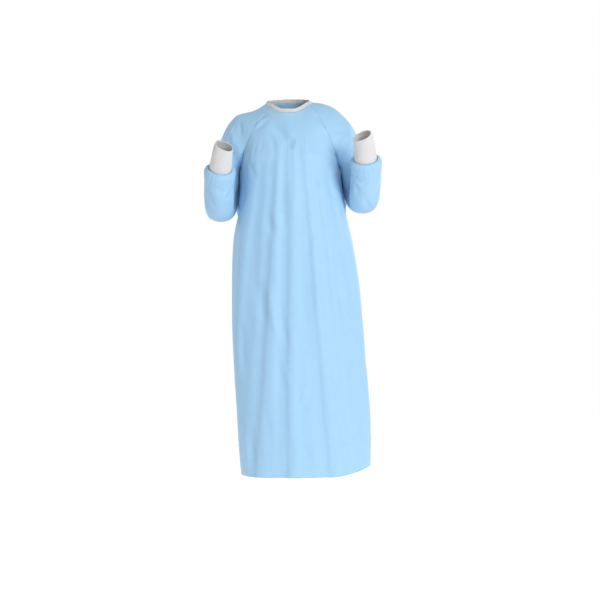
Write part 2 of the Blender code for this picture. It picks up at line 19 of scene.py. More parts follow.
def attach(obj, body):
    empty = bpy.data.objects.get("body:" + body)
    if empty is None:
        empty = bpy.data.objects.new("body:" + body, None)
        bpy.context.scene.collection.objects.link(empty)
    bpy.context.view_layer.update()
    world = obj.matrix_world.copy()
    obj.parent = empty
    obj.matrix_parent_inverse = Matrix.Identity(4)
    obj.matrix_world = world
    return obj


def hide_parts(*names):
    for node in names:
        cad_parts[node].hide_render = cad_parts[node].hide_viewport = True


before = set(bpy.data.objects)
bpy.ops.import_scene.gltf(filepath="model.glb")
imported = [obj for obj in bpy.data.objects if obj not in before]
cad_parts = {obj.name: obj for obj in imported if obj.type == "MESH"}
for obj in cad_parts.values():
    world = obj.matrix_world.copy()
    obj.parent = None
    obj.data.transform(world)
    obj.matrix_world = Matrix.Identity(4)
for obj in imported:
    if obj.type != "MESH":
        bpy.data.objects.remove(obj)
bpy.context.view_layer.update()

bl_info = {
    "name": "Surgical gown",
    "version": (1, 0, 0),
    "blender": (4, 5, 0),
    "location": "3D View > Sidebar > Gown",
    "description": "Makes the cloth, cuffs, binding and ties of a worn surgical gown, and its stage",
    "category": "Object",
}

FORWARD = Vector((0, -1, 0))
REARWARD = Vector((0, 1, 0))
LEFTWARD = Vector((1, 0, 0))
UPWARD = Vector((0, 0, 1))

# ---------------------------------------------------------------- the gown's form, as in the part's source

# The yoke, from the neckline to the armpit: the front's middle, the front seam, the shoulder ridge,
# the rear seam and the back's middle, on the wearer's left. "at" is the share of the way down.
Yoke = namedtuple(
    "Yoke",
    "at front_y front_z seam_x seam_y seam_z ridge_x ridge_z rear_x rear_y rear_z back_y back_z",
)
YOKE = (
    Yoke(0.00, -0.080, -0.050, 0.0660, -0.040, -0.020, 0.078, -0.006, 0.0640, 0.034, 0.000, 0.060, 0.006),
    Yoke(0.25, -0.095, -0.088, 0.0900, -0.069, -0.060, 0.118, -0.017, 0.0880, 0.064, -0.034, 0.083, -0.034),
    Yoke(0.50, -0.111, -0.130, 0.1150, -0.086, -0.106, 0.158, -0.037, 0.1130, 0.085, -0.082, 0.099, -0.084),
    Yoke(0.75, -0.125, -0.173, 0.1380, -0.080, -0.160, 0.194, -0.074, 0.1360, 0.082, -0.138, 0.109, -0.146),
    Yoke(0.90, -0.131, -0.198, 0.1505, -0.048, -0.196, 0.215, -0.112, 0.1495, 0.050, -0.186, 0.112, -0.187),
    Yoke(1.00, -0.134, -0.215, 0.1570, 0.000, -0.215, 0.228, -0.146, 0.1570, 0.000, -0.215, 0.114, -0.215),
)
CREASE_FROM = 0.60
SEAM_LIFT = 0.7

# Level sections of the body below the armpit: how far it reaches to each side of the origin
Section = namedtuple("Section", "z right left front back")
BODY = (
    Section(-0.215, 0.157, 0.165, 0.134, 0.114),
    Section(-0.260, 0.152, 0.164, 0.137, 0.115),
    Section(-0.310, 0.156, 0.174, 0.138, 0.115),
    Section(-0.366, 0.166, 0.187, 0.139, 0.116),
    Section(-0.430, 0.180, 0.203, 0.140, 0.118),
    Section(-0.500, 0.183, 0.217, 0.142, 0.124),
    Section(-0.600, 0.184, 0.231, 0.144, 0.132),
    Section(-0.720, 0.184, 0.239, 0.147, 0.137),
    Section(-0.850, 0.178, 0.247, 0.150, 0.141),
    Section(-0.980, 0.169, 0.257, 0.153, 0.145),
    Section(-1.100, 0.162, 0.262, 0.156, 0.148),
    Section(-1.195, 0.157, 0.264, 0.158, 0.150),
)
TOP, HEM = BODY[0].z, BODY[-1].z
BODY_FULLNESS = 1.12
HEM_RISE = 0.008

# Soft folds of the hanging cloth: where round the body (0 at the middle of the front, 1 at the middle of
# the back, + on the wearer's left), how far each stands out, its half width there, and its two ends
Fold = namedtuple("Fold", "around depth width top bottom")
FOLDS = (
    Fold(0.10, 0.0050, 0.11, -0.16, -0.95),
    Fold(-0.22, -0.0050, 0.08, -0.30, -1.30),
    Fold(-0.36, 0.0050, 0.06, -0.45, -1.40),
    Fold(0.34, -0.0055, 0.07, -0.40, -1.30),
    Fold(0.47, 0.0060, 0.05, -0.55, -1.40),
    Fold(-0.62, -0.0070, 0.06, -0.50, -1.40),
    Fold(0.66, -0.0080, 0.06, -0.48, -1.40),
    Fold(-0.76, 0.0075, 0.06, -0.40, -1.40),
    Fold(0.80, 0.0080, 0.07, -0.38, -1.40),
    Fold(0.93, -0.0060, 0.05, -0.30, -1.40),
)

# Each arm: the shoulder's lift, the inside of the bent elbow, and the open end of the cuff
Arm = namedtuple("Arm", "side lift armpit_x elbow_x crease_z cuff_x cuff_z")
ARMS = {
    "left": Arm(1, 0.008, 0.165, 0.241, -0.270, 0.226, -0.145),
    "right": Arm(-1, -0.014, 0.157, 0.219, -0.300, 0.195, -0.176),
}
CREASE_Y = -0.035
CUFF_Y = -0.205
BEND_RADIUS = 0.050
BEND_STEPS = 24
LEVEL_SHARE = 0.30
CUFF_LENGTH = 0.083
CUFF_BASE = (0.0360, 0.0330)
CUFF_TOP = (0.0295, 0.0265)
CLOSING_LENGTH = 0.014

# The sleeve's half widths along its length: sideways, and in the plane in which the arm bends
Tube = namedtuple("Tube", "at wide deep")
SLEEVE = (
    Tube(0.00, 0.0500, 0.0600),
    Tube(0.20, 0.0510, 0.0530),
    Tube(0.40, 0.0490, 0.0465),
    Tube(0.60, 0.0480, 0.0440),
    Tube(0.80, 0.0480, 0.0455),
    Tube(1.00, 0.0470, 0.0450),
)

# The fine grid: spaces in each direction. The back laps LAP_COLUMNS past its middle on both sides.
HALF_FRONT = 34
HALF_SLEEVE = 30
HALF_BACK = 30
LAP_COLUMNS = 9
FLAP_EDGE = HALF_BACK + LAP_COLUMNS
UNDER_EDGE = HALF_BACK - LAP_COLUMNS
DROP_COLUMNS = 9
LAP_DROP = 0.0040
YOKE_ROWS = 30
SKIRT_ROWS = 108
ARM_ROWS = 58
ARM_STEPS = 600
CURVE_SAMPLES = 90


def step(value):
    """0 below 0, 1 above 1, and smooth between them."""
    value = min(max(value, 0.0), 1.0)
    return value * value * (3 - 2 * value)


def read(table, key, column, at):
    """One column of a table at any station, on a smooth curve through its rows."""
    keys = [getattr(row, key) for row in table]
    values = [getattr(row, column) for row in table]
    if keys[0] > keys[-1]:
        keys = [-k for k in keys]
        at = -at
    at = min(max(at, keys[0]), keys[-1])
    index = max(i for i in range(len(keys) - 1) if keys[i] <= at)

    def slope(i):
        low, high = max(i - 1, 0), min(i + 1, len(keys) - 1)
        return (values[high] - values[low]) / (keys[high] - keys[low])

    span = keys[index + 1] - keys[index]
    t = (at - keys[index]) / span
    start, end = values[index], values[index + 1]
    return (
        start * (1 + 2 * t) * (1 - t) ** 2
        + slope(index) * span * t * (1 - t) ** 2
        + end * t * t * (3 - 2 * t)
        + slope(index + 1) * span * t * t * (t - 1)
    )


def stations(points, steps):
    """Evenly spaced places along a polyline, each as a point's number and the share of the way to the next."""
    lengths = [0.0]
    for here, there in zip(points, points[1:]):
        lengths.append(lengths[-1] + (there - here).length)
    index = 0
    for i in range(steps + 1):
        wanted = lengths[-1] * i / steps
        while index < len(points) - 2 and lengths[index + 1] < wanted:
            index += 1
        span = lengths[index + 1] - lengths[index]
        yield index, (wanted - lengths[index]) / span if span else 0.0


def spaced(points, steps):
    """A polyline's points again, evenly spaced along it."""
    return [points[i].lerp(points[i + 1], share) for i, share in stations(points, steps)]


def spaced_like(line, values, steps):
    """Directions given at a line's points, read again where spaced puts its points."""
    return [values[i].lerp(values[i + 1], share).normalized() for i, share in stations(line, steps)]


def roundest(start, leaving, end, arriving):
    """The handle length that makes a curve between two directions as near to a circle's arc as it can be."""
    return (end - start).length / (3 * math.cos(leaving.angle(arriving) / 4) ** 2)


def bent(start, leaving, end, arriving, steps):
    """A curve between two points; each handle's direction and length are given."""
    return spaced(interpolate_bezier(start, start + leaving, end - arriving, end, CURVE_SAMPLES), steps)


def arc(start, leaving, end, arriving, steps, fullness=1.0):
    """The roundest curve that leaves start in one direction and comes to end in another."""
    handle = fullness * roundest(start, leaving, end, arriving)
    return bent(start, leaving.normalized() * handle, end, arriving.normalized() * handle, steps)


def yoke_points(at, arm):
    """The five points of a yoke row on one side: front middle, front seam, ridge, rear seam, back middle."""

    def value(column):
        return read(YOKE, "at", column, at)

    lift = arm.lift * math.sin(math.pi * min(at * 1.6 + 0.08, 1.0))
    widening = (arm.armpit_x - YOKE[-1].seam_x) * at
    middle = (ARMS["left"].armpit_x - ARMS["right"].armpit_x) / 2 * at
    outward = arm.side * LEFTWARD
    front = Vector((middle, value("front_y"), value("front_z")))
    back = Vector((middle, value("back_y"), value("back_z")))
    seam_lift = lift * SEAM_LIFT
    seam = outward * (value("seam_x") + widening) + Vector((0, value("seam_y"), value("seam_z") + seam_lift))
    rear = outward * (value("rear_x") + widening) + Vector((0, value("rear_y"), value("rear_z") + seam_lift))
    ridge = outward * (value("ridge_x") + widening) + Vector((0, 0, value("ridge_z") + lift))
    return front, seam, ridge, rear, back


def crease_at(at):
    """How far a yoke row is folded back at its seams: not at all above, and fully at the armpit."""
    return step((at - CREASE_FROM) / (1 - CREASE_FROM))


def seam_directions(before, seam, after, at, towards):
    """Which way a row crosses a raglan seam: into it and out of it, alike above, folded back at the armpit."""
    smooth = ((seam - before).normalized() + (after - seam).normalized()).normalized()
    into = smooth.lerp(towards, crease_at(at)).normalized()
    out = smooth.lerp(-towards, crease_at(at)).normalized()
    return into, out


def over_shoulder(seam, out, ridge, across, at, steps):
    """The sleeve's curve from a seam to the shoulder's ridge, as deep at the armpit as the tube that follows."""
    handle = roundest(seam, out, ridge, across)
    crease = crease_at(at)
    reach = SLEEVE[0].deep * 4 / 3
    at_seam = handle + (max(reach - abs(seam.y), 0.004) - handle) * crease
    at_ridge = handle + (reach - handle) * crease
    return bent(seam, out * at_seam, ridge, across * at_ridge, steps)


def yoke_row(at, arm):
    """One side of a yoke row as three curves: front middle to seam, over the shoulder, seam to back middle."""
    front, seam, ridge, rear, back = yoke_points(at, arm)
    outward = arm.side * LEFTWARD
    into, out = seam_directions(front, seam, ridge, at, REARWARD)
    rear_into, rear_out = seam_directions(back, rear, ridge, at, FORWARD)
    across = (rear - seam + REARWARD * 0.001).normalized()
    body = 1 + (BODY_FULLNESS - 1) * at
    ahead = over_shoulder(seam, out, ridge, across, at, HALF_SLEEVE)
    behind = over_shoulder(rear, rear_out, ridge, -across, at, HALF_SLEEVE)
    return (
        arc(front, outward, seam, into, HALF_FRONT, body),
        ahead + behind[-2::-1],
        arc(rear, -rear_into, back, -outward, HALF_BACK, body),
    )


def fold_offset(around, z):
    """How far the folds push the cloth out of its plain section."""
    total = 0.0
    for fold in FOLDS:
        away = abs(around - fold.around)
        away = min(away, 2 - away)
        fade = step((fold.top - z) / 0.22) * step((z - fold.bottom) / 0.22)
        total += fold.depth * fade * math.exp(-((away / fold.width) ** 2))
    return total


def skirt_row(z, side):
    """One side of a level section below the armpit: front middle to side seam, and side seam to back middle."""

    def value(column):
        return read(BODY, "z", column, z)

    reach = value("left") if side > 0 else value("right")
    middle = (value("left") - value("right")) / 2
    rise = HEM_RISE * side * step((TOP - z) / (TOP - HEM))
    outward = side * LEFTWARD
    front = Vector((middle, -value("front"), z))
    back = Vector((middle, value("back"), z))
    edge = Vector((side * reach, 0, z + rise))
    ahead = arc(front, outward, edge, REARWARD, HALF_FRONT, BODY_FULLNESS)
    behind = arc(edge, REARWARD, back, -outward, HALF_BACK, BODY_FULLNESS)
    shares = [i / HALF_FRONT / 2 for i in range(HALF_FRONT + 1)]
    shares_behind = [0.5 + i / HALF_BACK / 2 for i in range(HALF_BACK + 1)]
    for row, share in ((ahead, shares), (behind, shares_behind)):
        for point, around in zip(row, share):
            radial = Vector((point.x - middle, point.y, 0)).normalized()
            point += radial * fold_offset(side * around, z)
    return ahead, behind


def body_grids():
    """The front's and the back's rows, neck to hem: the front from the wearer's right, the back from the left."""
    front, back = [], []
    left, right = ARMS["left"], ARMS["right"]
    for i in range(YOKE_ROWS + 1):
        left_front, _, left_back = yoke_row(i / YOKE_ROWS, left)
        right_front, _, right_back = yoke_row(i / YOKE_ROWS, right)
        front.append(right_front[::-1] + left_front[1:])
        back.append(left_back + right_back[-2::-1])
    for i in range(1, SKIRT_ROWS + 1):
        z = TOP + (HEM - TOP) * i / SKIRT_ROWS
        left_front, left_back = skirt_row(z, left.side)
        right_front, right_back = skirt_row(z, right.side)
        front.append(right_front[::-1] + left_front[1:])
        back.append(left_back + right_back[-2::-1])
    return front, back


def touching(point, centre, radius, way):
    """The angle round a circle at which a line from a point meets it as a tangent, in the (y, z) plane."""
    dy, dz = point[0] - centre[0], point[1] - centre[1]
    return math.atan2(dz, dy) + way * math.acos(radius / math.hypot(dy, dz))


def arm_path(arm, steps):
    """The sleeve's and the cuff's middle line: down the upper arm, round the elbow and up to the cuff's end."""
    _, armpit, ridge, _, _ = yoke_points(1.0, arm)
    shoulder = (armpit + ridge) / 2
    centre = (CREASE_Y, arm.crease_z)
    first = touching((shoulder.y, shoulder.z), centre, BEND_RADIUS, -1)
    last = touching((CUFF_Y, arm.cuff_z), centre, BEND_RADIUS, 1)
    if last > first:
        last -= 2 * math.pi
    flat = [Vector((0, shoulder.y, shoulder.z))]
    for i in range(BEND_STEPS + 1):
        angle = first + (last - first) * i / BEND_STEPS
        y, z = centre[0] + BEND_RADIUS * math.cos(angle), centre[1] + BEND_RADIUS * math.sin(angle)
        flat.append(Vector((0, y, z)))
    flat.append(Vector((0, CUFF_Y, arm.cuff_z)))
    fine = spaced(flat, CURVE_SAMPLES * 4)
    start, end = abs(shoulder.x), arm.cuff_x
    for i, point in enumerate(fine):
        share = i / (len(fine) - 1)
        bulge = math.sin(math.pi * share) ** 0.8
        point.x = arm.side * (start + (end - start) * share + (arm.elbow_x - (start + end) / 2) * bulge)
    return spaced(fine, steps)


def tube_ring(middle, across, over, wide, deep, half_columns):
    """A round section: from its inner side over the elbow crease's side to the outer side, and back behind."""
    inner, outer = middle - across * wide, middle + across * wide
    fullness = deep / wide
    return (
        arc(inner, over, outer, -over, half_columns, fullness)
        + arc(outer, -over, inner, over, half_columns, fullness)[1:]
    )


def arm_section(arm, path, share, sleeve_share):
    """The arm's middle and its two directions at a share of its path: outwards, and over the elbow crease."""
    _, armpit, ridge, _, _ = yoke_points(1.0, arm)
    tilted = (ridge - armpit).normalized()
    index = min(max(round(share * ARM_STEPS), 1), ARM_STEPS - 1)
    along = (path[index + 1] - path[index - 1]).normalized()
    outward = arm.side * LEFTWARD
    square = (outward - along * along.dot(outward)).normalized()
    over = arm.side * along.cross(square)
    level = step(share / sleeve_share / LEVEL_SHARE)
    middle = path[round(share * ARM_STEPS)]
    return middle, tilted.lerp(square, level).normalized(), FORWARD.lerp(over, level).normalized()


def sleeve_length_share(path):
    """The share of the arm's path that the sleeve takes, before its cuff, and the sleeve's length."""
    length = sum((b - a).length for a, b in zip(path, path[1:]))
    return (length - CUFF_LENGTH) / length, length - CUFF_LENGTH


def sleeve_grid(arm):
    """A raglan sleeve's rows, open from the neck to the armpit and closed rings from there on."""
    rows = [yoke_row(i / YOKE_ROWS, arm)[1] for i in range(YOKE_ROWS + 1)]
    path = arm_path(arm, ARM_STEPS)
    sleeve_share, length = sleeve_length_share(path)
    closing = CLOSING_LENGTH / length
    for i in range(1, ARM_ROWS + 1):
        at = i / ARM_ROWS
        reached = max((at - 1 + closing) / closing, 0.0)
        close = 1 - math.sqrt(max(1 - reached * reached, 0.0))
        wide, deep = read(SLEEVE, "at", "wide", at), read(SLEEVE, "at", "deep", at)
        wide += (CUFF_BASE[0] - wide) * close
        deep += (CUFF_BASE[1] - deep) * close
        section = arm_section(arm, path, at * sleeve_share, sleeve_share)
        rows.append(tube_ring(*section, wide, deep, HALF_SLEEVE))
    return rows


# ---------------------------------------------------------------- the cloth's creases

# Creases laid on each panel: a and b, turn, length, width and depth. Front and back: a and b are x and
# z of the middle. Sleeves: a is the share of the way from the neck to the cuff and b the share round, from the
# front seam. The turn is in degrees from upright, or from along the sleeve, leaning to the wearer's left as it
# falls. Lengths and widths are halves; a negative depth is a trough and a positive one a ridge.
Crease = namedtuple("Crease", "on a b turn length width depth")
CREASES = {
    "front": (
        # yoke and chest
        (-0.020, -0.132, 42, 0.070, 0.0160, -0.0062),
        (0.006, -0.118, 38, 0.056, 0.0140, 0.0040),
        (0.010, -0.150, -30, 0.040, 0.0130, -0.0030),
        (-0.052, -0.150, 30, 0.045, 0.0100, -0.0020),
        (-0.100, -0.056, -48, 0.034, 0.0080, -0.0034),
        (-0.112, -0.078, -44, 0.040, 0.0085, 0.0030),
        (-0.088, -0.098, -38, 0.036, 0.0080, -0.0024),
        (0.098, -0.070, 50, 0.036, 0.0085, -0.0026),
        (0.112, -0.104, 42, 0.040, 0.0090, 0.0024),
        (-0.113, -0.238, 34, 0.040, 0.0100, -0.0032),
        (-0.128, -0.222, 28, 0.038, 0.0090, 0.0026),
        (-0.137, -0.285, 18, 0.050, 0.0120, -0.0030),
        (0.020, -0.340, 4, 0.110, 0.0300, 0.0040),
        (-0.060, -0.415, 26, 0.060, 0.0150, -0.0040),
        (-0.034, -0.398, 22, 0.055, 0.0150, 0.0028),
        (0.148, -0.255, 86, 0.030, 0.0070, -0.0028),
        (0.142, -0.243, 80, 0.030, 0.0080, 0.0022),
        (0.158, -0.196, 12, 0.040, 0.0090, -0.0050),
        (0.142, -0.190, 16, 0.038, 0.0100, 0.0036),
        (0.146, -0.318, 66, 0.040, 0.0100, -0.0030),
        (-0.146, -0.330, -62, 0.038, 0.0100, -0.0028),
        (0.096, -0.286, -28, 0.055, 0.0140, 0.0022),
        (0.072, -0.452, -14, 0.070, 0.0160, -0.0028),
        # skirt
        (-0.088, -0.655, 9, 0.110, 0.0180, -0.0046),
        (-0.046, -0.680, 10, 0.120, 0.0130, 0.0044),
        (-0.014, -0.740, 11, 0.090, 0.0120, -0.0026),
        (-0.010, -0.880, 8, 0.060, 0.0090, 0.0034),
        (0.034, -0.955, 24, 0.040, 0.0080, -0.0036),
        (0.058, -0.950, -22, 0.042, 0.0080, -0.0034),
        (0.046, -0.938, 2, 0.036, 0.0100, 0.0030),
        (-0.086, -0.892, 87, 0.036, 0.0050, -0.0018),
        (-0.080, -0.962, 92, 0.038, 0.0050, -0.0018),
        (0.176, -0.600, 6, 0.080, 0.0110, 0.0042),
        (0.160, -0.620, 6, 0.085, 0.0110, -0.0030),
        (0.204, -0.530, 8, 0.055, 0.0090, 0.0034),
        (0.120, -0.740, 3, 0.140, 0.0160, -0.0026),
        (0.088, -0.640, 2, 0.120, 0.0240, 0.0030),
        (-0.138, -1.130, 4, 0.080, 0.0120, 0.0046),
        (-0.118, -1.110, 3, 0.090, 0.0110, -0.0034),
        (0.198, -1.080, 5, 0.110, 0.0130, 0.0040),
        (0.010, -1.120, -2, 0.090, 0.0200, -0.0030),
        (0.090, -1.130, 4, 0.080, 0.0160, 0.0030),
        (-0.150, -0.800, 2, 0.120, 0.0130, -0.0034),
        (-0.066, -1.040, 6, 0.080, 0.0130, -0.0024),
        (0.150, -0.930, 4, 0.100, 0.0120, -0.0024),
    ),
    "back": (
        # yoke and waist
        (-0.030, -0.120, -16, 0.060, 0.0120, -0.0036),
        (0.046, -0.110, 20, 0.055, 0.0120, -0.0032),
        (0.082, -0.150, 34, 0.060, 0.0110, 0.0034),
        (-0.080, -0.140, -36, 0.060, 0.0110, 0.0034),
        (-0.128, -0.214, -24, 0.055, 0.0100, -0.0044),
        (0.132, -0.216, 26, 0.055, 0.0100, -0.0044),
        (0.060, -0.260, 12, 0.080, 0.0150, -0.0030),
        (-0.066, -0.300, -10, 0.085, 0.0150, -0.0030),
        (0.016, -0.392, 74, 0.060, 0.0090, -0.0040),
        (0.030, -0.372, 68, 0.060, 0.0100, 0.0030),
        (-0.060, -0.408, 104, 0.050, 0.0090, -0.0038),
        (-0.074, -0.386, 112, 0.050, 0.0090, 0.0028),
        (-0.120, -0.420, 96, 0.040, 0.0080, -0.0040),
        (-0.112, -0.482, 60, 0.050, 0.0090, -0.0042),
        (-0.082, -0.500, 24, 0.070, 0.0110, -0.0048),
        (-0.104, -0.530, -4, 0.090, 0.0110, -0.0050),
        (0.010, -0.498, -34, 0.080, 0.0120, -0.0044),
        (0.070, -0.490, -58, 0.070, 0.0110, -0.0034),
        (0.130, -0.470, 72, 0.045, 0.0090, -0.0034),
        # the fullness behind each arm
        (0.154, -0.290, -3, 0.140, 0.0300, 0.0230),
        (-0.144, -0.310, 3, 0.150, 0.0300, 0.0240),
        # skirt
        (0.150, -0.700, -3, 0.180, 0.0160, -0.0060),
        (0.104, -0.760, -2, 0.200, 0.0150, 0.0054),
        (0.044, -0.820, 1, 0.190, 0.0160, -0.0050),
        (-0.030, -0.720, 3, 0.170, 0.0150, 0.0050),
        (-0.100, -0.800, 2, 0.210, 0.0150, -0.0058),
        (-0.138, -0.900, -2, 0.200, 0.0130, 0.0050),
        (0.190, -1.000, -5, 0.170, 0.0150, 0.0052),
        (0.080, -1.060, -3, 0.120, 0.0130, -0.0040),
        (-0.050, -1.080, 4, 0.110, 0.0130, -0.0040),
    ),
    "left": (
        (0.09, 0.50, 8, 0.045, 0.0090, -0.0024),
        (0.22, 0.16, 62, 0.040, 0.0080, -0.0040),
        (0.27, 0.20, 70, 0.044, 0.0080, 0.0036),
        (0.32, 0.72, 74, 0.046, 0.0090, -0.0036),
        (0.38, 0.46, 64, 0.050, 0.0090, -0.0032),
        (0.43, 0.60, 98, 0.052, 0.0090, 0.0034),
        (0.49, 0.34, 84, 0.048, 0.0075, -0.0056),
        (0.54, 0.24, 88, 0.054, 0.0075, 0.0056),
        (0.585, 0.26, 92, 0.058, 0.0075, -0.0070),
        (0.63, 0.27, 94, 0.056, 0.0070, 0.0058),
        (0.67, 0.30, 98, 0.052, 0.0075, -0.0056),
        (0.60, 0.66, 76, 0.046, 0.0090, -0.0034),
        (0.66, 0.62, 108, 0.050, 0.0090, -0.0036),
        (0.74, 0.72, 22, 0.050, 0.0090, -0.0036),
        (0.78, 0.52, -14, 0.055, 0.0100, -0.0034),
        (0.82, 0.88, 12, 0.045, 0.0080, 0.0030),
        (0.80, 0.18, 28, 0.040, 0.0080, -0.0030),
    ),
    "right": (
        (0.10, 0.46, -10, 0.045, 0.0090, -0.0026),
        (0.21, 0.18, 116, 0.042, 0.0080, -0.0042),
        (0.26, 0.24, 108, 0.042, 0.0080, 0.0034),
        (0.31, 0.70, 104, 0.050, 0.0090, -0.0038),
        (0.37, 0.52, 112, 0.050, 0.0090, -0.0030),
        (0.44, 0.62, 84, 0.050, 0.0090, 0.0032),
        (0.48, 0.30, 98, 0.050, 0.0075, -0.0056),
        (0.53, 0.25, 90, 0.056, 0.0075, 0.0056),
        (0.575, 0.26, 88, 0.058, 0.0075, -0.0068),
        (0.62, 0.28, 84, 0.054, 0.0070, 0.0056),
        (0.665, 0.27, 82, 0.052, 0.0075, -0.0052),
        (0.61, 0.68, 102, 0.046, 0.0090, -0.0036),
        (0.67, 0.58, 72, 0.050, 0.0090, -0.0036),
        (0.75, 0.66, -20, 0.050, 0.0090, -0.0036),
        (0.79, 0.44, 12, 0.050, 0.0100, -0.0034),
        (0.83, 0.84, -14, 0.045, 0.0080, 0.0030),
        (0.78, 0.14, -24, 0.040, 0.0080, -0.0030),
    ),
}
CREASE_REACH = 0.060
BANK = 0.35
BANK_WIDTH = 2.1

# The cloth's general unevenness: each layer's size across, its height, and where its pattern starts
Swell = namedtuple("Swell", "across height start")
SWELLS = (
    Swell(0.190, 0.0022, (3.1, 7.7, 1.3)),
    Swell(0.075, 0.0011, (9.2, 0.4, 5.5)),
    Swell(0.026, 0.00034, (1.7, 4.6, 8.1)),
)

# Seams are drawn in, and pucker a little along their length
SEAM_DEPTH = 0.0007
SEAM_REACH = 0.0070
PUCKER_PITCH = 0.017
PUCKER_AWAY = 1.5
PUCKER_SHARE = 0.35

# The sleeve's end is gathered on to the cuff in uneven pleats
PLEATS = 21
PLEAT_DEPTH = 0.0030
PLEAT_REACH = 0.050
PLEAT_END = 0.004
PLEAT_FULLNESS = 0.0016


def as_array(rows):
    """Rows of points as one array."""
    return np.array([[tuple(point) for point in row] for row in rows])


def unit(vectors):
    """Vectors made one long."""
    return vectors / np.maximum(np.linalg.norm(vectors, axis=-1, keepdims=True), 1e-9)


def facings(points, closed_from=None):
    """The direction square to a grid at each point; rows from closed_from on are rings."""
    down = np.gradient(points, axis=0)
    along = np.gradient(points, axis=1)
    if closed_from is not None:
        round_seam = points[closed_from:, 1] - points[closed_from:, -2]
        along[closed_from:, 0] = along[closed_from:, -1] = round_seam
    return unit(np.cross(down, along))


def edge_points(panels, whole_ends):
    """The places on the panels' edges that lie at one point, together: each as a panel, a row and a column."""
    found = defaultdict(list)
    for name, points in panels.items():
        rows, columns = points.shape[:2]
        for row in range(rows):
            inside = 0 < row < rows - 1 or not whole_ends
            for column in (0, columns - 1) if inside else range(columns):
                key = tuple(np.round(points[row, column] * 1e5).astype(int))
                found[key].append((name, row, column))
    return found.values()


def made_smooth(panels, normals):
    """Makes the directions of panels one along the seams that they share, where the cloth runs smoothly over."""
    for places in edge_points(panels, whole_ends=True):
        own = [normals[name][row, column].copy() for name, row, column in places]
        for (name, row, column), mine in zip(places, own):
            total = sum(other * step(mine.dot(other) * 0.9 + 0.45) for other in own)
            normals[name][row, column] = unit(total)


def lengths_along(points, axis):
    """The distance run along a grid's rows (axis 1) or columns (axis 0) up to each point."""
    runs = np.linalg.norm(np.diff(points, axis=axis), axis=-1)
    total = np.cumsum(runs, axis=axis)
    start = np.zeros_like(total.take([0], axis=axis))
    return np.concatenate([start, total], axis=axis)


def flat_map(points):
    """The panel laid flat, in metres: across from its middle line, and down along it."""
    across = lengths_along(points, 1)
    middle = points.shape[1] // 2
    across = across - across[:, [middle]]
    down = lengths_along(points[:, [middle]], 0)
    return np.stack([across, -np.broadcast_to(down, across.shape)], axis=-1)


def crease_frames(panels, normals):
    """Each crease's middle, the way it runs, the way across it and the cloth's own direction there."""
    frames = []
    for crease in (Crease(on, *values) for on, rows in CREASES.items() for values in rows):
        points, facing = panels[crease.on], normals[crease.on]
        rows, columns = points.shape[:2]
        if crease.on in ARMS:
            row, column = round(crease.a * (rows - 1)), round(crease.b * (columns - 1))
        else:
            away = np.hypot(points[..., 0] - crease.a, points[..., 2] - crease.b)
            row, column = np.unravel_index(np.argmin(away), away.shape)
        row = min(max(row, 1), rows - 2)
        column = min(max(column, 1), columns - 2)
        normal = facing[row, column]
        down = unit(points[row + 1, column] - points[row - 1, column])
        side = points[row, column + 1] - points[row, column - 1] if crease.on in ARMS else np.array(LEFTWARD)
        side = unit(side - normal * side.dot(normal))
        turn = math.radians(crease.turn)
        along = unit(down * math.cos(turn) + side * math.sin(turn))
        frames.append((crease, points[row, column], along, unit(np.cross(along, normal)), normal))
    return frames


def creased(points, normals, frames, part):
    """How far the listed creases move each point of a panel along its own direction."""
    total = np.zeros(points.shape[:2])
    for crease, middle, along, across, normal in frames:
        if (crease.on in ARMS) != (part in ARMS) or (part in ARMS and part != crease.on):
            continue
        away = points - middle
        on_line = away @ along / crease.length
        off_line = away @ across / crease.width
        through = np.abs(away @ normal) / CREASE_REACH
        facing = np.clip(normals @ normal, 0, 1)
        taper = np.clip(1 - on_line**2, 0, 1) ** 2 * np.clip(1 - through**2, 0, 1) * facing
        form = np.exp(-(off_line**2)) - BANK * np.exp(-((off_line / BANK_WIDTH) ** 2))
        total += crease.depth / (1 - BANK) * taper * form
    return total


def swelled(points):
    """The cloth's general unevenness at each point."""
    total = np.zeros(points.shape[:2])
    for row in range(points.shape[0]):
        for column in range(points.shape[1]):
            place = Vector(points[row, column])
            for swell in SWELLS:
                total[row, column] += swell.height * noise.noise(place / swell.across + Vector(swell.start))
    return total


def seam_drop(points):
    """How far a panel is drawn in beside its side edges, and the puckers along them."""
    total = np.zeros(points.shape[:2])
    down = lengths_along(points, 0)
    for edge in (0, -1):
        away = np.linalg.norm(points - points[:, [edge]], axis=-1)
        near = np.exp(-((away / SEAM_REACH) ** 2))
        beside = np.exp(-(((away - SEAM_REACH * PUCKER_AWAY) / SEAM_REACH) ** 2))
        phase = down[:, [edge]] / PUCKER_PITCH
        wander = np.sin(phase * 2.1) + 0.6 * np.sin(phase * 4.7 + 1.3)
        total -= SEAM_DEPTH * near
        total += SEAM_DEPTH * PUCKER_SHARE * beside * wander
    return total


def gathered(points):
    """The pleats with which a sleeve's end is drawn on to its cuff."""
    columns = points.shape[1]
    to_end = lengths_along(points[::-1], 0)[::-1].mean(axis=1, keepdims=True)
    fade = np.exp(-((to_end / PLEAT_REACH) ** 2) * 2.2)
    ending = np.clip(to_end / PLEAT_END, 0, 1)
    around = np.linspace(0, 2 * math.pi, columns)[None, :]
    wander = 0.5 * np.sin(around * 3 + 0.7) + 0.35 * np.sin(around * 5 + 2.0)
    pleats = np.sin(around * PLEATS + wander * 1.6) * (0.65 + 0.35 * np.sin(around * 2 + 1.0))
    return PLEAT_DEPTH * pleats * fade * (0.25 + 0.75 * ending) + PLEAT_FULLNESS * fade * ending


# ---------------------------------------------------------------- the worn form

Form = namedtuple("Form", "panels normals flats paths")


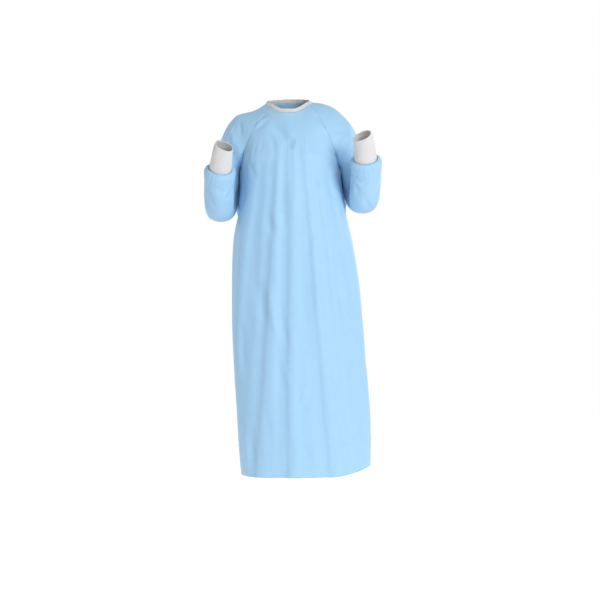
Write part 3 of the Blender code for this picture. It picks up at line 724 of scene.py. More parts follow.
@lru_cache(maxsize=1)
def worn_form(crease_scale):
    """The gown's finished surface: each panel's points, directions and flat map, and the arms' middle lines."""
    front, back = body_grids()
    panels = {"front": as_array(front), "back": as_array(back)}
    facing_sign = {"front": 1, "back": 1}
    closed = {"front": None, "back": None}
    paths = {}
    for name, arm in ARMS.items():
        panels[name] = as_array(sleeve_grid(arm))
        facing_sign[name] = arm.side
        closed[name] = YOKE_ROWS + 1
        paths[name] = arm_path(arm, ARM_STEPS)

    def directions(points_of):
        return {name: facings(points, closed[name]) * facing_sign[name] for name, points in points_of.items()}

    flats = {name: flat_map(points) for name, points in panels.items()}
    normals = directions(panels)
    made_smooth(panels, normals)
    frames = crease_frames(panels, normals)
    plain = {}
    for name, points in panels.items():
        plain[name] = points + normals[name] * (crease_scale * swelled(points))[..., None]
    joined_seams(panels, plain)
    plain = settled(plain)
    moved = {}
    for name, points in panels.items():
        offset = crease_scale * creased(points, normals[name], frames, name) + seam_drop(points)
        if name in ARMS:
            offset += gathered(points)
        moved[name] = plain[name] + normals[name] * offset[..., None]
    joined_seams(panels, moved)
    for part in ("front", "back"):
        for name in ARMS:
            moved[part][..., 0] += against_arm(moved[part], moved[name], ARMS[name])
        moved[part][..., 2] += lifted_hem(moved[part])
    moved["front"] += rounded_neck(moved["front"])
    joined_seams(panels, moved)
    final = directions(moved)
    made_smooth(moved, final)
    return Form(moved, final, flats, paths)


def joined_seams(panels, moved):
    """Brings panels that share a seam to the same points along it."""
    for places in edge_points(panels, whole_ends=False):
        mean = sum(moved[name][row, column] for name, row, column in places) / len(places)
        for name, row, column in places:
            moved[name][row, column] = mean


# The body's cloth is let out beside each upper arm until it all but lies against it: the air left between,
# the furthest that it moves, and the heights and depths between which it does
BODY_SIDE = 0.08
ARM_AIR = 0.0012
ARM_EASE = 0.013
EASE_TOP = -0.214
EASE_BOTTOM = -0.385
EASE_Y = 0.022
EASE_REACH = 0.045
EASE_FADES = (0.022, 0.055)
WALL_REACH = 0.007

# The hem's end on the wearer's left is drawn up: how far, from where sideways, and from what height
HEM_LIFT = 0.010
HEM_LIFT_X = (0.15, 0.26)
HEM_LIFT_Z = (-0.95, -1.19)

# The neck's front edge is let down on each side of its middle: how far, where, how widely, in how many rows
NECK_ROUNDING = 0.0050
NECK_ROUNDING_X = 0.036
NECK_ROUNDING_WIDTH = 0.026
NECK_ROUNDING_ROWS = 9
DOWN_THE_FRONT = (0, -0.37, -0.93)


def against_arm(points, sleeve, arm):
    """How far sideways each point of the body moves to lie beside an upper arm."""
    quarter = HALF_SLEEVE // 2
    rows = sleeve[YOKE_ROWS + 1 :]
    inner = np.concatenate([rows[:, :quarter], rows[:, -quarter:]], axis=1).reshape(-1, 3)
    inner = inner[inner[:, 2] < EASE_TOP + 0.02]
    x, y, z = points[..., 0] * arm.side, points[..., 1], points[..., 2]
    shift = np.zeros(x.shape)
    near = (x > BODY_SIDE) & (z < EASE_TOP) & (z > EASE_BOTTOM) & (np.abs(y - EASE_Y) < EASE_REACH * 2.5)
    apart = (y[near][:, None] - inner[:, 1]) ** 2 + (z[near][:, None] - inner[:, 2]) ** 2
    weight = np.exp(-apart / (2 * WALL_REACH**2))
    total = weight.sum(axis=1)
    wall = (weight @ (inner[:, 0] * arm.side)) / np.maximum(total, 1e-9)
    room = np.clip(wall - ARM_AIR - x[near], 0, ARM_EASE) * total / (total + 0.5)
    above, below = EASE_FADES
    fade = smooth_steps((EASE_TOP - z[near]) / above) * smooth_steps((z[near] - EASE_BOTTOM) / below)
    shift[near] = room * fade * np.exp(-(((y[near] - EASE_Y) / EASE_REACH) ** 2) ** 2)
    return shift * arm.side


def smooth_steps(values):
    """0 below 0, 1 above 1, and smooth between them, for a whole array."""
    values = np.clip(values, 0, 1)
    return values * values * (3 - 2 * values)


def lifted_hem(points):
    """How far the hem's end on the wearer's left is drawn up."""
    (near, far), (high, low) = HEM_LIFT_X, HEM_LIFT_Z
    sideways = smooth_steps((points[..., 0] - near) / (far - near))
    return HEM_LIFT * sideways * smooth_steps((high - points[..., 2]) / (high - low))


def rounded_neck(points):
    """How far the front's top rows are let down on each side of their middle."""
    fade = smooth_steps(1 - np.arange(points.shape[0]) / NECK_ROUNDING_ROWS)[:, None]
    beside = np.exp(-(((np.abs(points[..., 0]) - NECK_ROUNDING_X) / NECK_ROUNDING_WIDTH) ** 2))
    return (fade * beside * NECK_ROUNDING)[..., None] * np.array(DOWN_THE_FRONT)


# The cloth's settling: its steps, how much too large the cloth is for its form, how firmly it keeps to it, how
# far a point may move, how much of the broad form is kept, and the rounds that find the broad form
SETTLE_FRAMES = 28
SETTLE_SPARE = 0.009
SETTLE_HOLD = 0.30
SETTLE_FAR = 0.007
SETTLE_KEPT_FORM = 0.9
SMOOTH_ROUNDS = 160
SETTLE_GROUP = "held"
CLOTH_FEEL = {
    "quality": 6,
    "mass": 0.15,
    "tension_stiffness": 12,
    "compression_stiffness": 12,
    "shear_stiffness": 4,
    "bending_stiffness": 0.8,
    "air_damping": 3,
    "shrink_min": -SETTLE_SPARE,
    "vertex_group_mass": SETTLE_GROUP,
    "pin_stiffness": SETTLE_HOLD,
}


def sewn_together(panels):
    """The panels as one sheet, welded where they meet, and the number there of each of their points."""
    bm = bmesh.new()
    for points in panels.values():
        rows, columns = points.shape[:2]
        start = len(bm.verts)
        bmesh.ops.create_grid(bm, x_segments=columns - 1, y_segments=rows - 1, size=0.5)
        bm.verts.ensure_lookup_table()
        for number, place in enumerate(points.reshape(-1, 3), start):
            bm.verts[number].co = place
    bmesh.ops.remove_doubles(bm, verts=bm.verts, dist=WELD_REACH)
    bm.verts.index_update()
    near = KDTree(len(bm.verts))
    for vert in bm.verts:
        near.insert(vert.co, vert.index)
    near.balance()
    numbers = {
        name: np.array([near.find(place)[1] for place in points.reshape(-1, 3)]).reshape(points.shape[:2])
        for name, points in panels.items()
    }
    return bm, numbers


def settled(panels):
    """The same panels after the cloth, sewn together, has sagged and buckled a little on its own form."""
    bm, numbers = sewn_together(panels)
    count = len(bm.verts)
    held = np.zeros(count)
    for name, own in numbers.items():
        rows = own.shape[0]
        firm = np.array([hold_at(name, row, rows) for row in range(rows)])
        np.maximum.at(held, own, np.broadcast_to(firm[:, None], own.shape))
    obj = piece_from("settling_cloth", bm)
    group = obj.vertex_groups.new(name=SETTLE_GROUP)
    for number, weight in enumerate(held):
        group.add([number], weight, "REPLACE")
    cloth = obj.modifiers.new("Cloth", "CLOTH")
    for key, value in CLOTH_FEEL.items():
        setattr(cloth.settings, key, value)
    cloth.collision_settings.use_self_collision = False
    cloth.point_cache.frame_start, cloth.point_cache.frame_end = 1, SETTLE_FRAMES
    scene = bpy.context.scene
    for frame_number in range(1, SETTLE_FRAMES + 1):
        scene.frame_set(frame_number)
    evaluated = obj.evaluated_get(bpy.context.evaluated_depsgraph_get())
    places, ended = np.empty(count * 3), np.empty(count * 3)
    obj.data.vertices.foreach_get("co", places)
    evaluated.data.vertices.foreach_get("co", ended)
    move = (ended - places).reshape(-1, 3)
    move -= SETTLE_KEPT_FORM * smoothed(move, numbers)
    far = np.linalg.norm(move, axis=1, keepdims=True)
    move *= SETTLE_FAR / (SETTLE_FAR + far)
    bpy.data.objects.remove(obj)
    scene.frame_set(1)
    return {name: points + move[numbers[name]] for name, points in panels.items()}


def smoothed(values, panel_numbers):
    """Values at the cloth's points, each made the mean of its neighbours over and over."""
    pairs = []
    for numbers in panel_numbers.values():
        pairs.append(np.stack([numbers[:, :-1].ravel(), numbers[:, 1:].ravel()]))
        pairs.append(np.stack([numbers[:-1].ravel(), numbers[1:].ravel()]))
    ends = np.unique(np.sort(np.concatenate(pairs, axis=1), axis=0), axis=1)
    first, second = ends[:, ends[0] != ends[1]]
    count = len(values)
    neighbours = np.bincount(first, minlength=count) + np.bincount(second, minlength=count)
    smooth = values.copy()
    for _ in range(SMOOTH_ROUNDS):
        for axis in range(3):
            total = np.bincount(first, smooth[second, axis], count)
            total = total + np.bincount(second, smooth[first, axis], count)
            smooth[:, axis] += 0.5 * (total / neighbours - smooth[:, axis])
    return smooth


def hold_at(name, row, rows):
    """How firmly a row of the cloth is held: wholly at the neck and the cuffs, and little elsewhere."""
    if row == 0 or (name in ARMS and row >= rows - 3):
        return 1.0
    near_neck = 1 - step(row / (YOKE_ROWS * 1.6))
    near_cuff = step((row - rows + 12) / 9) if name in ARMS else 0.0
    return min(0.10 + 0.75 * max(near_neck, near_cuff) ** 2, 0.95)


def on_surface(points, row, column):
    """A point of a panel between its rows and columns."""
    rows, columns = points.shape[:2]
    top, left = min(max(int(row), 0), rows - 2), min(max(int(column), 0), columns - 2)
    down, across = row - top, column - left
    upper = points[top, left] * (1 - across) + points[top, left + 1] * across
    lower = points[top + 1, left] * (1 - across) + points[top + 1, left + 1] * across
    return Vector(upper * (1 - down) + lower * down)


def height_over_back(column, lift):
    """How high a piece lies at a column of the back: past the flap's edge it sinks to the under panel."""
    past_edge = (column - FLAP_EDGE) / DROP_COLUMNS * 3
    return lift - under_drop(column) * step((past_edge - 0.15) / 0.5)


def under_drop(column):
    """How far the under back panel lies below the outer one at a column of the back's rows."""
    free_of_lap = column - FLAP_EDGE
    return LAP_DROP * step(1 - free_of_lap / DROP_COLUMNS)


# ---------------------------------------------------------------- meshes

WELD_REACH = 1e-6


def mesh_from_grid(points, flat, outward=None, weld=False):
    """A sheet with a vertex at each point of a grid, a UV map in metres, and its faces outwards."""
    points = np.asarray(points)
    rows, columns = points.shape[:2]
    bm = bmesh.new()
    bmesh.ops.create_grid(bm, x_segments=columns - 1, y_segments=rows - 1, size=0.5)
    layer = bm.loops.layers.uv.new("Cloth")
    bm.verts.ensure_lookup_table()
    for vert in bm.verts:
        vert.co = points[divmod(vert.index, columns)]
    for face in bm.faces:
        for loop in face.loops:
            loop[layer].uv = flat[divmod(loop.vert.index, columns)]
    if outward is not None:
        bm.normal_update()
        facing = sum(
            face.normal.dot(Vector(outward[divmod(face.verts[0].index, columns)])) for face in bm.faces
        )
        if facing < 0:
            bmesh.ops.reverse_faces(bm, faces=bm.faces)
    if weld:
        bmesh.ops.remove_doubles(bm, verts=bm.verts, dist=WELD_REACH)
    return bm


def piece_from(name, bm, material=None, smooth=True):
    """Turns a bmesh into a named piece of the gown with its material."""
    mesh = bpy.data.meshes.new(name)
    bm.to_mesh(mesh)
    bm.free()
    if material:
        mesh.materials.append(material)
    if smooth:
        mesh.shade_smooth()
    obj = bpy.data.objects.new(name, mesh)
    bpy.context.scene.collection.objects.link(obj)
    return obj


def add_rounding(obj):
    """Rounds a piece by one step of subdivision."""
    rounding = obj.modifiers.new("Rounding", "SUBSURF")
    rounding.levels = rounding.render_levels = 1
    return rounding


def add_wall(obj, thickness):
    """Rounds a sheet and gives it its wall, which grows inwards."""
    add_rounding(obj).boundary_smooth = "PRESERVE_CORNERS"
    solid = obj.modifiers.new("Wall", "SOLIDIFY")
    solid.thickness = thickness
    solid.offset = -1.0
    solid.use_rim = True
    solid.use_quality_normals = True


def area_of(obj):
    """A sheet's own area, before its wall."""
    return sum(face.area for face in obj.data.polygons)


def declare(obj, node=None):
    """Hangs a piece on the root body, and hides the imported part that it stands for, if any."""
    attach(obj, "root")
    if node:
        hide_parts(node)


def declare_sheet(obj, node, flat):
    """Does the same for a sheet; the area that it works out from what the sheet was cut to is not used."""
    declare(obj, node)
    area = min(area_of(obj), flat[0] * flat[1])


# ---------------------------------------------------------------- materials


def node(tree, kind, place, **values):
    """A shader node at a place, with its properties and its inputs' values set by name."""
    made = tree.nodes.new(kind)
    made.location = place
    for key, value in values.items():
        if key in made.inputs:
            made.inputs[key].default_value = value
        else:
            setattr(made, key, value)
    return made


def maths(tree, operation, place, first, second=None, third=None):
    """A Math node; each operand is a socket or a number."""
    made = node(tree, "ShaderNodeMath", place, operation=operation)
    for socket, value in zip(made.inputs, (first, second, third)):
        if value is None:
            continue
        if isinstance(value, (int, float)):
            socket.default_value = value
        else:
            tree.links.new(value, socket)
    return made.outputs[0]


def new_group(name, inputs, outputs):
    """An empty node group with its sockets, and its two end nodes."""
    group = bpy.data.node_groups.new(name, "ShaderNodeTree")
    for label, kind, default in inputs:
        socket = group.interface.new_socket(label, in_out="INPUT", socket_type=kind)
        if default is not None:
            socket.default_value = default
    for label, kind in outputs:
        group.interface.new_socket(label, in_out="OUTPUT", socket_type=kind)
    return group, node(group, "NodeGroupInput", (-1200, 0)), node(group, "NodeGroupOutput", (900, 0))


def waves_of(group, operation, parts, pitch, x_height, y_height):
    """A wave across and a wave along the cloth, each half a turn to the pitch."""
    waves = []
    for axis, height in (("X", x_height), ("Y", y_height)):
        turns = maths(group, "DIVIDE", (-760, height), parts.outputs[axis], pitch)
        angle = maths(group, "MULTIPLY", (-590, height), turns, math.pi)
        waves.append(maths(group, operation, (-420, height), angle))
    return waves


def spunbond_group():
    """Spunbond cloth: a web of fine fibres, and the rows of small bond points that hold it together."""
    group, start, end = new_group(
        "Spunbond web",
        [
            ("Cloth", "NodeSocketVector", None),
            ("Bond pitch", "NodeSocketFloat", 0.0016),
            ("Fibre size", "NodeSocketFloat", 0.0007),
            ("Cloudiness", "NodeSocketFloat", 0.5),
        ],
        [("Shade", "NodeSocketFloat"), ("Bonds", "NodeSocketFloat"), ("Height", "NodeSocketFloat")],
    )
    link = group.links.new
    parts = node(group, "ShaderNodeSeparateXYZ", (-950, 260))
    link(start.outputs["Cloth"], parts.inputs[0])
    lattices = []
    for operation, x_height, y_height in (("COSINE", 320, 160), ("SINE", 0, -140)):
        waves = waves_of(group, operation, parts, start.outputs["Bond pitch"], x_height, y_height)
        crossed = maths(group, "MULTIPLY", (-250, x_height - 60), *waves)
        lattices.append(maths(group, "ABSOLUTE", (-80, x_height - 60), crossed))
    either = maths(group, "MAXIMUM", (90, 120), *lattices)
    bonds = node(group, "ShaderNodeMapRange", (260, 160), interpolation_type="SMOOTHSTEP")
    bonds.inputs["From Min"].default_value = 0.80
    bonds.inputs["From Max"].default_value = 0.94
    link(either, bonds.inputs["Value"])
    size = maths(group, "DIVIDE", (-950, -320), 1.0, start.outputs["Fibre size"])
    webs = []
    for turn, stretch, height in ((0.35, 0.16, -300), (1.75, 0.13, -560)):
        turned = node(group, "ShaderNodeMapping", (-760, height), Rotation=(0, 0, turn), Scale=(1, stretch, 1))
        link(start.outputs["Cloth"], turned.inputs["Vector"])
        fibres = node(group, "ShaderNodeTexNoise", (-560, height), Detail=3.0, Roughness=0.6, Distortion=0.6)
        link(turned.outputs[0], fibres.inputs["Vector"])
        link(size, fibres.inputs["Scale"])
        webs.append(fibres.outputs["Fac"])
    web = maths(group, "MULTIPLY", (-180, -420), maths(group, "ADD", (-350, -420), *webs), 0.5)
    clouds = node(group, "ShaderNodeTexNoise", (-560, -820), Scale=42.0, Detail=4.0, Roughness=0.62)
    link(start.outputs["Cloth"], clouds.inputs["Vector"])
    uneven = maths(group, "MULTIPLY", (-180, -760), clouds.outputs["Fac"], start.outputs["Cloudiness"])
    shade = maths(group, "ADD", (120, -560), web, uneven)
    bond_shade = maths(group, "MULTIPLY", (460, 40), bonds.outputs[0], 0.22)
    link(maths(group, "SUBTRACT", (460, -420), shade, bond_shade), end.inputs["Shade"])
    link(bonds.outputs[0], end.inputs["Bonds"])
    link(maths(group, "SUBTRACT", (620, -160), web, bonds.outputs[0]), end.inputs["Height"])
    return group


def knit_group():
    """Fine knit: columns of V-shaped stitches, each a loop high, and the fuzz of the yarn."""
    group, start, end = new_group(
        "Knit stitches",
        [
            ("Cloth", "NodeSocketVector", None),
            ("Wale", "NodeSocketFloat", 0.0011),
            ("Course", "NodeSocketFloat", 0.0009),
        ],
        [("Shade", "NodeSocketFloat"), ("Height", "NodeSocketFloat")],
    )
    link = group.links.new
    parts = node(group, "ShaderNodeSeparateXYZ", (-950, 200))
    link(start.outputs["Cloth"], parts.inputs[0])
    wales = maths(group, "DIVIDE", (-760, 300), parts.outputs["X"], start.outputs["Wale"])
    wale = maths(group, "FRACT", (-590, 300), wales)
    from_middle = maths(group, "ABSOLUTE", (-250, 300), maths(group, "SUBTRACT", (-420, 300), wale, 0.5))
    course = maths(group, "DIVIDE", (-760, 60), parts.outputs["Y"], start.outputs["Course"])
    slant = maths(group, "ADD", (-80, 180), course, maths(group, "MULTIPLY", (-80, 320), from_middle, 1.3))
    loops = maths(group, "SINE", (260, 180), maths(group, "MULTIPLY", (90, 180), slant, 2 * math.pi))
    across = maths(group, "COSINE", (-80, 460), maths(group, "MULTIPLY", (-250, 460), wale, 2 * math.pi))
    groove = maths(group, "MULTIPLY", (90, 420), across, -0.5)
    fuzz = node(group, "ShaderNodeTexNoise", (-420, -200), Scale=2600.0, Detail=3.0, Roughness=0.6)
    link(start.outputs["Cloth"], fuzz.inputs["Vector"])
    height = maths(group, "ADD", (430, 260), maths(group, "MULTIPLY", (260, 20), loops, 0.5), groove)
    link(maths(group, "ADD", (600, 200), height, fuzz.outputs["Fac"]), end.inputs["Height"])
    # The knit's colour is partly the yarn's fuzz and partly painted light and shade: it follows the stitches'
    # height, darker in the grooves between the wales and lighter on the loops.
    shade = maths(group, "MULTIPLY_ADD", (600, -40), height, 0.35, 0.5)
    fuzz_shade = maths(group, "MULTIPLY", (430, -200), fuzz.outputs["Fac"], 0.3)
    link(maths(group, "ADD", (740, -120), shade, fuzz_shade), end.inputs["Shade"])
    return group


def weave_group():
    """Plain weave: threads that pass over and under each other."""
    group, start, end = new_group(
        "Plain weave",
        [("Cloth", "NodeSocketVector", None), ("Thread", "NodeSocketFloat", 0.0006)],
        [("Shade", "NodeSocketFloat"), ("Height", "NodeSocketFloat")],
    )
    link = group.links.new
    parts = node(group, "ShaderNodeSeparateXYZ", (-950, 200))
    link(start.outputs["Cloth"], parts.inputs[0])
    over = maths(group, "MULTIPLY", (-200, 200), *waves_of(group, "SINE", parts, start.outputs["Thread"], 300, 60))
    uneven = node(group, "ShaderNodeTexNoise", (-420, -200), Scale=900.0, Detail=3.0, Roughness=0.6)
    link(start.outputs["Cloth"], uneven.inputs["Vector"])
    link(maths(group, "ADD", (200, 200), over, uneven.outputs["Fac"]), end.inputs["Height"])
    # The weave's colour is partly the yarn's uneven tone and partly painted light and shade: lighter where a thread
    # passes over, darker where it dips under.
    link(maths(group, "MULTIPLY_ADD", (200, 0), over, 0.2, uneven.outputs["Fac"]), end.inputs["Shade"])
    return group


# Each cloth's look: its pattern and own sockets, its colour, how light and dark the pattern makes that, how
# rough it is, its sheen, and the strength and depth of its bump
Look = namedtuple("Look", "pattern sockets colour light dark roughness sheen bump depth")
FINE_LOOPS = {"Bond pitch": 0.0021, "Fibre size": 0.0004, "Cloudiness": 0.3}
# For the white knit, the cream binding and the thread, the pattern's light and dark include painted light and shade
# that follow the height of their yarns.
LOOKS = {
    "blue nonwoven": Look(spunbond_group, {}, "cloth", 1.035, 0.955, 0.62, 0.18, 0.22, 0.00025),
    "white knit": Look(knit_group, {}, "knit", 1.03, 0.86, 0.86, 0.35, 0.45, 0.00035),
    "cream binding": Look(weave_group, {}, "binding", 1.03, 0.90, 0.80, 0.25, 0.40, 0.00025),
    "white loop": Look(spunbond_group, FINE_LOOPS, "tab", 1.03, 0.88, 0.90, 0.40, 0.60, 0.0004),
    "thread": Look(weave_group, {"Thread": 0.0004}, "thread", 1.0, 0.9, 0.60, 0.10, 0.30, 0.0001),
}
RAMP_ENDS = (0.25, 0.85)
ROUGHNESS_SWING = 0.06
SHEEN_ROUGHNESS = 0.45
SPECULAR_LEVEL = 0.32


@lru_cache(maxsize=None)
def pattern_of(make_group):
    """The shared node groups, each made once."""
    return make_group()


@lru_cache(maxsize=None)
def material_called(name):
    """A cloth, made when first asked for: its pattern shades the colour and roughness and raises the bump."""
    look = LOOKS[name]
    group = pattern_of(look.pattern)
    colour = getattr(bpy.context.scene.gown_colours, look.colour)
    material = bpy.data.materials.new(name)
    material.use_nodes = True
    tree = material.node_tree
    link = tree.links.new
    shader = tree.nodes["Principled BSDF"]
    shader.inputs["Metallic"].default_value = 0.0
    shader.inputs["Sheen Weight"].default_value = look.sheen
    shader.inputs["Sheen Roughness"].default_value = SHEEN_ROUGHNESS
    shader.inputs["Specular IOR Level"].default_value = SPECULAR_LEVEL
    place = node(tree, "ShaderNodeUVMap", (-1100, 0), uv_map="Cloth")
    pattern = node(tree, "ShaderNodeGroup", (-860, 0), node_tree=group)
    for key, value in look.sockets.items():
        pattern.inputs[key].default_value = value
    link(place.outputs["UV"], pattern.inputs["Cloth"])
    tint = node(tree, "ShaderNodeValToRGB", (-560, 160))
    for end, at, level in zip(tint.color_ramp.elements, RAMP_ENDS, (look.dark, look.light)):
        end.position = at
        end.color = [min(c * level, 1) for c in colour] + [1]
    link(pattern.outputs["Shade"], tint.inputs["Fac"])
    link(tint.outputs["Color"], shader.inputs["Base Color"])
    gloss = node(tree, "ShaderNodeMapRange", (-560, -140))
    gloss.inputs["To Min"].default_value = look.roughness + ROUGHNESS_SWING
    gloss.inputs["To Max"].default_value = look.roughness - ROUGHNESS_SWING
    link(pattern.outputs["Shade"], gloss.inputs["Value"])
    link(gloss.outputs[0], shader.inputs["Roughness"])
    raised = node(tree, "ShaderNodeBump", (-300, -320), Strength=look.bump, Distance=look.depth)
    link(pattern.outputs["Height"], raised.inputs["Height"])
    link(raised.outputs["Normal"], shader.inputs["Normal"])
    return material


# ---------------------------------------------------------------- sizes and colours that a user may change


def length_property(name, description, default, low, high):
    """A length that a user may change, in metres."""
    return bpy.props.FloatProperty(
        name=name,
        description=description,
        default=default,
        min=low,
        max=high,
        subtype="DISTANCE",
        unit="LENGTH",
    )


class GownSizes(bpy.types.PropertyGroup):
    """The sizes of the gown's finish."""

    cloth_wall: length_property("Cloth thickness", "How thick the nonwoven cloth is drawn", 0.0010, 0.0004, 0.0018)
    crease_scale: bpy.props.FloatProperty(
        name="Crease depth",
        # How deep the creases are, against their sizes in the table
        description="How deep the creases laid by hand are, against their sizes in the table",
        default=1.0,
        min=0.0,
        max=1.5,
        subtype="FACTOR",
    )
    rib_count: bpy.props.IntProperty(
        name="Cuff ribs",
        description="The number of ribs round each knit cuff",
        default=58,
        min=24,
        max=90,
    )
    rib_depth: length_property("Rib depth", "How far a rib stands out from the groove beside it", 0.0011, 0.0, 0.003)
    band_height: length_property(
        "Neck binding height", "How high the folded binding stands round the neck", 0.013, 0.008, 0.016
    )
    tie_width: length_property("Tie width", "The width of the waist ties", 0.020, 0.010, 0.030)
    stitch_pitch: length_property(
        "Stitch pitch", "The distance from one stitch to the next", 0.0042, 0.002, 0.010
    )


def colour_property(name, description, default):
    """A colour that a user may change."""
    return bpy.props.FloatVectorProperty(
        name=name, description=description, default=default, size=3, min=0.0, max=1.0, subtype="COLOR"
    )


class GownColours(bpy.types.PropertyGroup):
    """The colours of the gown and of its floor."""

    cloth: colour_property("Cloth", "The nonwoven cloth", (0.372, 0.622, 0.858))
    knit: colour_property("Knit", "The ribbed cuffs", (0.800, 0.790, 0.785))
    binding: colour_property("Binding", "The strip round the neck", (0.745, 0.745, 0.705))
    tab: colour_property("Tab", "The fastening at the back of the neck", (0.790, 0.790, 0.780))
    thread: colour_property("Thread", "The seams' thread", (0.46, 0.68, 0.88))
    floor: colour_property("Floor", "The floor that the gown hangs over", (0.93, 0.93, 0.93))


# ---------------------------------------------------------------- what goes round, over and along the panels


def loft(rows):
    """A tube or solid band through rings of points, with a UV map in metres; welded where it closes."""
    points = as_array(rows)
    across, down = lengths_along(points, 1), lengths_along(points, 0)
    flat = np.stack([across, down.mean(axis=1, keepdims=True) + np.zeros_like(across)], axis=-1)
    return close_ends(mesh_from_grid(points, flat, weld=True))


def close_ends(bm):
    """Closes each open ring at the ends of a tube, and turns its faces outwards."""
    edges = [edge for edge in bm.edges if edge.is_boundary]
    if edges:
        bmesh.ops.holes_fill(bm, edges=edges, sides=0)
    bmesh.ops.recalc_face_normals(bm, faces=bm.faces)
    return bm


def rounded_section(width, height, corner_steps=3, roundness=0.48):
    """A flat strip's rounded section: (across, up) pairs round it, closed."""
    radius = min(width, height) * roundness
    section = []
    for cx, cy, start in (
        (width / 2 - radius, height / 2 - radius, 0),
        (-width / 2 + radius, height / 2 - radius, 90),
        (-width / 2 + radius, -height / 2 + radius, 180),
        (width / 2 - radius, -height / 2 + radius, 270),
    ):
        for i in range(corner_steps + 1):
            angle = math.radians(start + 90 * i / corner_steps)
            section.append((cx + radius * math.cos(angle), cy + radius * math.sin(angle)))
    return section + section[:1]


def strip_along(middles, across, up, section_at):
    """A solid strip along a line: section_at(share) gives its section, set across and up at each point."""
    rows = []
    for i, (middle, side, rise) in enumerate(zip(middles, across, up)):
        section = section_at(i / (len(middles) - 1))
        rows.append([middle + side * x + rise * y for x, y in section])
    return loft(rows)


def stitches(bm, line, facing, pitch, length, radius, lift):
    """Short stitches along a line of points, each a small rounded bar that lies on the cloth."""
    total = sum((b - a).length for a, b in zip(line, line[1:]))
    count = max(int(total / pitch), 1)
    places = spaced(line, count * 2)
    toward = spaced_like(line, facing, count * 2)
    laid_down = Euler((0, math.pi / 2, 0)).to_matrix().to_4x4()
    for i in range(1, count * 2, 2):
        along = (places[i + 1] - places[i - 1]).normalized()
        normal = toward[i]
        normal = (normal - along * normal.dot(along)).normalized()
        side = along.cross(normal)
        shape = Matrix((along * length / 2, side * radius, normal * radius)).transposed().to_4x4()
        matrix = Matrix.Translation(places[i] + normal * lift) @ shape @ laid_down
        bmesh.ops.create_uvsphere(bm, u_segments=6, v_segments=4, radius=1.0, matrix=matrix)


def stitch_piece(name, runs, pitch, length, radius, lift):
    """One piece that holds every stitch of some runs, each a line of points and the cloth's directions there."""
    bm = bmesh.new()
    for line, facing in runs:
        stitches(bm, line, facing, pitch, length, radius, lift)
    layer = bm.loops.layers.uv.new("Cloth")
    for face in bm.faces:
        for loop in face.loops:
            loop[layer].uv = (loop.vert.co.x, loop.vert.co.z)
    return piece_from(name, bm, material_called("thread"))


# ---------------------------------------------------------------- the operators


def finished_form(context):
    """The gown's surface at the crease depth that the user has set."""
    return worn_form(context.scene.gown_sizes.crease_scale)


class GOWN_OT_front(bpy.types.Operator):
    """Makes the front panel, from the neck to the hem"""

    bl_idname = "gown.make_front"
    bl_label = "Front panel"

    def execute(self, context):
        form = finished_form(context)
        bm = mesh_from_grid(form.panels["front"], form.flats["front"], form.normals["front"])
        cloth_piece(context, "gown_front", bm, "front_panel", flat_size(form.flats["front"]))
        return {"FINISHED"}


def cloth_piece(context, name, bm, node_name, flat):
    """Makes a panel of the nonwoven cloth from its mesh."""
    obj = piece_from(name, bm, material_called("blue nonwoven"))
    add_wall(obj, context.scene.gown_sizes.cloth_wall)
    declare_sheet(obj, node_name, flat)


def flat_size(flat):
    """The rectangle that a panel is cut from: its greatest width and its length."""
    width = float((flat[..., 0].max(axis=1) - flat[..., 0].min(axis=1)).max())
    return round(width, 3), round(float(-flat[..., 1].min()), 3)


class GOWN_OT_backs(bpy.types.Operator):
    """Makes the two back panels: the outer flap, and the one that it laps over"""

    bl_idname = "gown.make_backs"
    bl_label = "Back panels"

    def execute(self, context):
        form = finished_form(context)
        points, normals, flat = form.panels["back"], form.normals["back"], form.flats["back"]
        drop = np.array([under_drop(column) for column in range(points.shape[1])])
        lowered = points - normals * drop[None, :, None]
        outer, under = slice(0, FLAP_EDGE + 1), slice(UNDER_EDGE, None)
        for name, part, surface in (("left", outer, flap_edge(points, normals)), ("right", under, lowered)):
            bm = mesh_from_grid(surface[:, part], flat[:, part], normals[:, part])
            cloth_piece(context, f"gown_back_{name}", bm, f"back_panel_{name}", flat_size(flat[:, part]))
        return {"FINISHED"}


FLAP_WAVES = ((0.0016, 31, 0.8), (0.0011, 73, 0.0))
FLAP_LIFT = 0.0016
FLAP_LIFT_FROM = 0.10
FLAP_COLUMNS = 6


def flap_edge(points, normals):
    """The back with the outer flap's free edge lifted and waved a little."""
    lifted = points.copy()
    down = lengths_along(points[:, [FLAP_EDGE]], 0)[:, 0]
    wave = sum(height * np.sin(down * rate + start) for height, rate, start in FLAP_WAVES) + FLAP_LIFT
    fade = np.clip(down / FLAP_LIFT_FROM, 0, 1)
    for column in range(FLAP_EDGE - FLAP_COLUMNS, FLAP_EDGE + 1):
        near = step((column - FLAP_EDGE + FLAP_COLUMNS) / FLAP_COLUMNS)
        lifted[:, column] += normals[:, column] * (wave * fade * near)[:, None]
    return lifted


class GOWN_OT_sleeves(bpy.types.Operator):
    """Makes the two raglan sleeves, gathered on to the cuffs"""

    bl_idname = "gown.make_sleeves"
    bl_label = "Sleeves"

    def execute(self, context):
        form = finished_form(context)
        for name in ARMS:
            bm = mesh_from_grid(form.panels[name], form.flats[name], form.normals[name], weld=True)
            cloth_piece(context, f"gown_sleeve_{name}", bm, f"sleeve_{name}", flat_size(form.flats[name]))
        return {"FINISHED"}


CUFF_ROWS = 22
CUFF_WALL = 0.0018
CUFF_TUCK = 0.004
RIB_COLUMNS = 4
FOLD_IN = 0.0007
BASE_IN = 0.0011
WAIST_IN = 0.0006
KNIT_SLACK = 0.0011
KNIT_SLACK_ACROSS = 0.022


